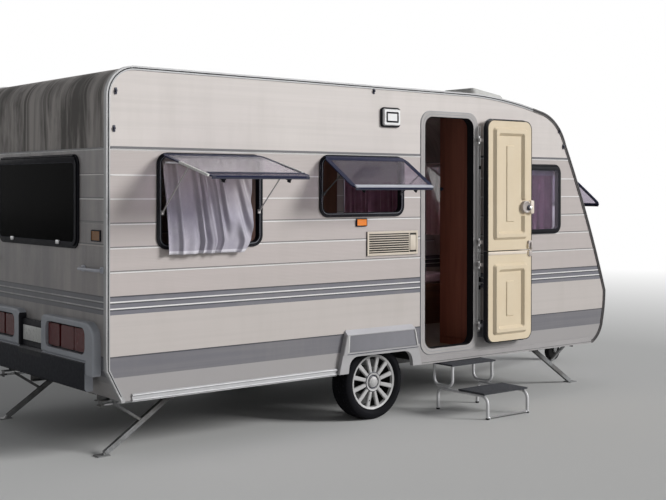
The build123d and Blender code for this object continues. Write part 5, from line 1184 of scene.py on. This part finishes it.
# Vent: a back painted dark as the shade in its slots, inside a raised border, with slats, and a blank panel
# between two notches of the same painted shade
vent_box = (DOOR_LOW_X - 0.602, DOOR_LOW_X - 0.080, SEAM_Z - 0.774, SEAM_Z - 0.588)
low, high, bottom, top = vent_box
vent = [plate(vent_box, 0.004, 0.004, 0.001, on_right),
        ring(vent_box, 0.006, 0.019, 0.0118, 0.002, on_right, 0.001)]
for z in np.linspace(bottom + 0.028, top - 0.0345, 8):
    vent.append(plate((low + 0.017, low + 0.428, z, z + 0.0065), 0.001, 0.0110, 0.001, on_right, 0.003))
post = (low + 0.426, low + 0.434, bottom + 0.01, top - 0.01)
blank = (low + 0.440, high - 0.022, bottom + 0.033, top - 0.033)
vent += [plate(post, 0.001, 0.0112, 0.001, on_right, 0.003),
         plate(blank, 0.003, 0.0114, 0.001, on_right, 0.003)]
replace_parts(make("vent_louvres", vent, vent_cream), "vent_grilles")

# Feet of the rear grab handles, rims of the markers and reflectors, and the blank number plate
feet = [plate(around(y, SEAM_Z - 0.790, 0.026, 0.020), 0.010, 0.010, 0.004, on_rear)
        for y in (-0.991, -0.727, 0.727, 0.991)]
make("grab_handle_feet", feet, light_grey)
marker_box = (DOOR_LOW_X - 0.710, DOOR_LOW_X - 0.603, SEAM_Z - 0.547, SEAM_Z - 0.485)
for side, word in SIDES:
    make(f"{word}_marker_rim", [ring(marker_box, 0.010, 0.010, 0.012, 0.002, on_side[side])], frame_rubber)
    reflector_box = around(side * (HALF_WIDTH - 0.144), SEAM_Z - 0.569, 0.063, 0.038)
    make(f"{word}_reflector_rim", [ring(reflector_box, 0.008, 0.008, 0.010, 0.002, on_rear)], frame_rubber)
number_box = around(0, 0.745, 0.165, 0.055)
make("blank_number_plate", [plate(number_box, 0.008, 0.0345, 0.0008, on_rear, 0.0302)], plate_white)
make("number_plate_rim", [ring(grown(number_box, 0.006), 0.012, 0.008, 0.0362, 0.001, on_rear, 0.0302)],
     frame_rubber)

# Awning hooks along the right side. Columns: X, Z
HOOKS = [(-2.250, 2.410), (-2.262, 2.167), (2.093, 2.290), (2.150, 2.150), (-0.055, 2.525)]
hooks = []
for x, z in HOOKS:
    hooks.append(plate(around(x, z, 0.009, 0.022), 0.004, 0.006, 0.002, on_right))
    hooks.append(plate(around(x, z + 0.002, 0.006, 0.008), 0.003, 0.018, 0.003, on_right, 0.004))
make("awning_hooks", hooks, bar_dark)

# Wardrobe door and knob, and the kitchen worktop
make("wardrobe_door", [plate((-0.970, -0.630, 0.530, 2.380), 0.008, 0.014, 0.003, on_wardrobe)], cabin_wood)
knob = turned([(0.009, 0.012), (0.008, 0.022), (0.015, 0.028), (0.015, 0.034), (0.0005, 0.037)],
              (DOOR_HIGH_X + 0.046, -0.661, 1.777), (-1, 0, 0), 32)
make("wardrobe_knob", [knob], bar_dark)
worktop_z = FLOOR_TOP + 0.895
worktop = (DOOR_LOW_X - 1.080, DOOR_LOW_X - 0.036, -1.0185, -0.462)
make("kitchen_worktop", [plate(worktop, 0.012, worktop_z + 0.016, 0.004, on_level, worktop_z + 0.0003)],
     worktop_grey)

# Step: ribs on the treads and rubber feet
ribs, feet = [], []
for low, high, top in ((-1.533, -1.253, 0.199), (-1.187, -0.933, 0.378)):
    for y in np.arange(low + 0.018, high - 0.010, 0.0195):
        rib = beside(DOOR_LOW_X, y, 0.187, 0.665, 0, 0.007)
        ribs.append(plate(rib, 0.002, top + 0.0022, 0.0012, on_level, top - 0.0005))
make("step_tread_ribs", ribs, tread_black)
for x in (DOOR_LOW_X + 0.201, DOOR_LOW_X + 0.651):
    for y in (-1.000, -1.550):
        foot = [(0.0138, 0.0), (0.0150, 0.002), (0.0150, 0.009), (0.0135, 0.012), (0.0122, 0.0125)]
        feet.append(turned(foot, (x, y, 0), (0, 0, 1), 28))
make("step_feet", feet, seal_rubber)

# Locker lid: two turn latches
latches = []
for y in (-0.56, 0.56):
    latches.append(plate(around(y, 0.525, 0.045, 0.020), 0.012, 0.007, 0.002, on_front, -0.004))
    latches.append(plate(around(y, 0.514, 0.012, 0.022), 0.008, 0.014, 0.003, on_front, 0.005))
make("locker_latches", latches, bar_dark, "locker_lid")


# Coupling: bellows behind the head, sleeves on the levers, and threads on the steadies' spindles
def waved(radius, wave, waves, start, length, points):
    """A profile whose radius waves along it."""
    share = np.linspace(0, 1, points)
    return np.stack([radius + wave * np.cos(2 * pi * waves * share), start + length * share], -1)


def sleeve(start, end, radius, grooves):
    """A grip round a lever: its radius waves along the grip and rounds off at both ends."""
    start, end = np.array(start), np.array(end)
    profile = waved(radius, 0.0008, grooves, 0, np.linalg.norm(end - start), 48)
    profile[:, 0] -= 0.004 * np.linspace(-1, 1, 48) ** 10
    return [turned(profile, start, end - start, 28)]


bellows = turned(waved(0.034, 0.0055, 6, 0.042, 0.072, 61), (DRAWBAR_END_X, 0, BALL_Z), (1, 0, 0), 40)
make("coupling_bellows", [bellows], seal_rubber)
lever_x = DRAWBAR_END_X - 0.240
grip = sleeve((lever_x - 0.068, 0, BALL_Z + 0.250), (lever_x - 0.1005, 0, BALL_Z + 0.342), 0.0165, 8)
make("handbrake_grip", grip, seal_rubber)
grip = sleeve((DRAWBAR_END_X + 0.105, 0, BALL_Z + 0.0645), (DRAWBAR_END_X + 0.029, 0, BALL_Z + 0.0955),
              0.0138, 5)
make("coupling_grip", grip, seal_rubber)
thread = waved(0.0077, 0.0009, 60, 0.05, 0.44, 121)
spindles = [turned(thread, (foot_x, side * (HALF_WIDTH - 0.250), SIDE_BOTTOM - 0.055), (forward, 0, 0), 14)
            for forward, foot_x in ((1, KINK_X - 0.683), (-1, REAR_X + 0.600)) for side in (-1, 1)]
make("spindle_threads", spindles, step_chrome)

# Round each hub, a dark line of painted shade outside its raised ring and another at the cap's edge, and the
# valve
HUB_SHADE_LINES = [
    [(0.0715, 0.0772), (0.0722, 0.0790), (0.0765, 0.0748), (0.0755, 0.0725)],
    [(0.0450, 0.060), (0.0450, 0.0665), (0.0535, 0.0665), (0.0535, 0.060)],
]
VALVE = [(0.005, -0.004), (0.005, 0.016), (0.0035, 0.022), (0.0005, 0.023)]
VALVE_RADIUS = 0.145
VALVE_ANGLE = radians(-105)
for side, word in SIDES:
    lines = [turned(line, (0, side * WHEEL_Y, WHEEL_RADIUS), (0, side, 0), 72, True) for line in HUB_SHADE_LINES]
    make(f"{word}_hub_shade_lines", lines, bar_dark, f"wheel_{word}")
    valve_at = (VALVE_RADIUS * cos(VALVE_ANGLE), side * (WHEEL_Y + 0.0565),
                WHEEL_RADIUS + VALVE_RADIUS * sin(VALVE_ANGLE))
    valve = turned(VALVE, valve_at, (0, side, 0), 16)
    make(f"{word}_valve", [valve], seal_rubber, f"wheel_{word}")

# Roof: lap strips over the joints of the sheet and frames round the rooflights
laps = [plate(around(x, 0, 0.016, INNER_Y - 0.004), 0.003, 0.003, 0.0015, on_roof, -0.001)
        for x in (-1.55, 0.35)]
make("roof_lap_strips", laps, light_grey)
frames = [ring(around(x, y, half_x + 0.022, half_y + 0.022), 0.066, 0.0225, 0.010, 0.003, on_roof, -0.001)
          for x, y, half_x, half_y in ((KINK_X - 1.232, -HALF_WIDTH + 0.490, 0.200, 0.200),
                                       (REAR_X + 1.611, 0, 0.350, 0.250))]
make("rooflight_frames", frames, light_grey)


# Lamps, world and floor
def studio():
    """A soft key from the front right, a weaker fill, an even pale world, and a pale floor that the
    camera, mirrors and glass see as white."""
    world = bpy.data.worlds.new("studio")
    bpy.context.scene.world = world
    world.use_nodes = True
    tree = world.node_tree
    plain = tree.nodes["Background"]
    plain.inputs["Color"].default_value = (0.93, 0.96, 1.0, 1)
    plain.inputs["Strength"].default_value = 0.17
    white = tree.nodes.new("ShaderNodeBackground")
    white.inputs["Color"].default_value = (1, 1, 1, 1)
    path = tree.nodes.new("ShaderNodeLightPath")
    seen = path.outputs["Is Camera Ray"]
    for ray in ("Is Glossy Ray", "Is Transmission Ray"):
        either = tree.nodes.new("ShaderNodeMath")
        either.operation = "MAXIMUM"
        tree.links.new(seen, either.inputs[0])
        tree.links.new(path.outputs[ray], either.inputs[1])
        seen = either.outputs[0]
    mix = tree.nodes.new("ShaderNodeMixShader")
    for source, socket in zip((seen, plain.outputs[0], white.outputs[0]), mix.inputs):
        tree.links.new(source, socket)
    tree.links.new(mix.outputs[0], tree.nodes["World Output"].inputs["Surface"])
    # Columns: name, direction, strength, degrees of spread
    suns = [("key", (-0.60, 0.70, -0.40), 2.80, 20), ("fill", (-0.25, 0.9, -0.40), 0.25, 90)]
    for name, towards, strength, spread in suns:
        data = bpy.data.lights.new(name, "SUN")
        data.energy = strength
        data.angle = radians(spread)
        lamp = bpy.data.objects.new(name, data)
        lamp.rotation_mode = "QUATERNION"
        lamp.rotation_quaternion = Vector(towards).to_track_quat("-Z", "Y")
        bpy.context.scene.collection.objects.link(lamp)
    half = 60
    floor_mesh = bpy.data.meshes.new("studio_floor")
    corners = [(-half, -half, 0), (half, -half, 0), (half, half, 0), (-half, half, 0)]
    floor_mesh.from_pydata(corners, [], [(0, 1, 2, 3)])
    floor = bpy.data.objects.new("studio_floor", floor_mesh)
    bpy.context.scene.collection.objects.link(floor)
    paint = Finish("studio_floor_paint")
    paint.set(Base_Color=(0.60, 0.60, 0.59), Roughness=0.9)
    away = paint.add("ShaderNodeVectorMath", operation="LENGTH")
    paint.join(paint.place, away.inputs[0])
    camera_ray = paint.add("ShaderNodeLightPath").outputs["Is Camera Ray"]
    faded = paint.times(paint.ranged(away.outputs["Value"], 5.0, 17.0), camera_ray)
    glow = paint.add("ShaderNodeEmission").outputs[0]
    blend = paint.fed(paint.add("ShaderNodeMixShader"), (faded, paint.shader.outputs[0], glow))
    paint.join(blend, paint.tree.nodes["Material Output"].inputs["Surface"])
    floor_mesh.materials.append(paint.material)


studio()
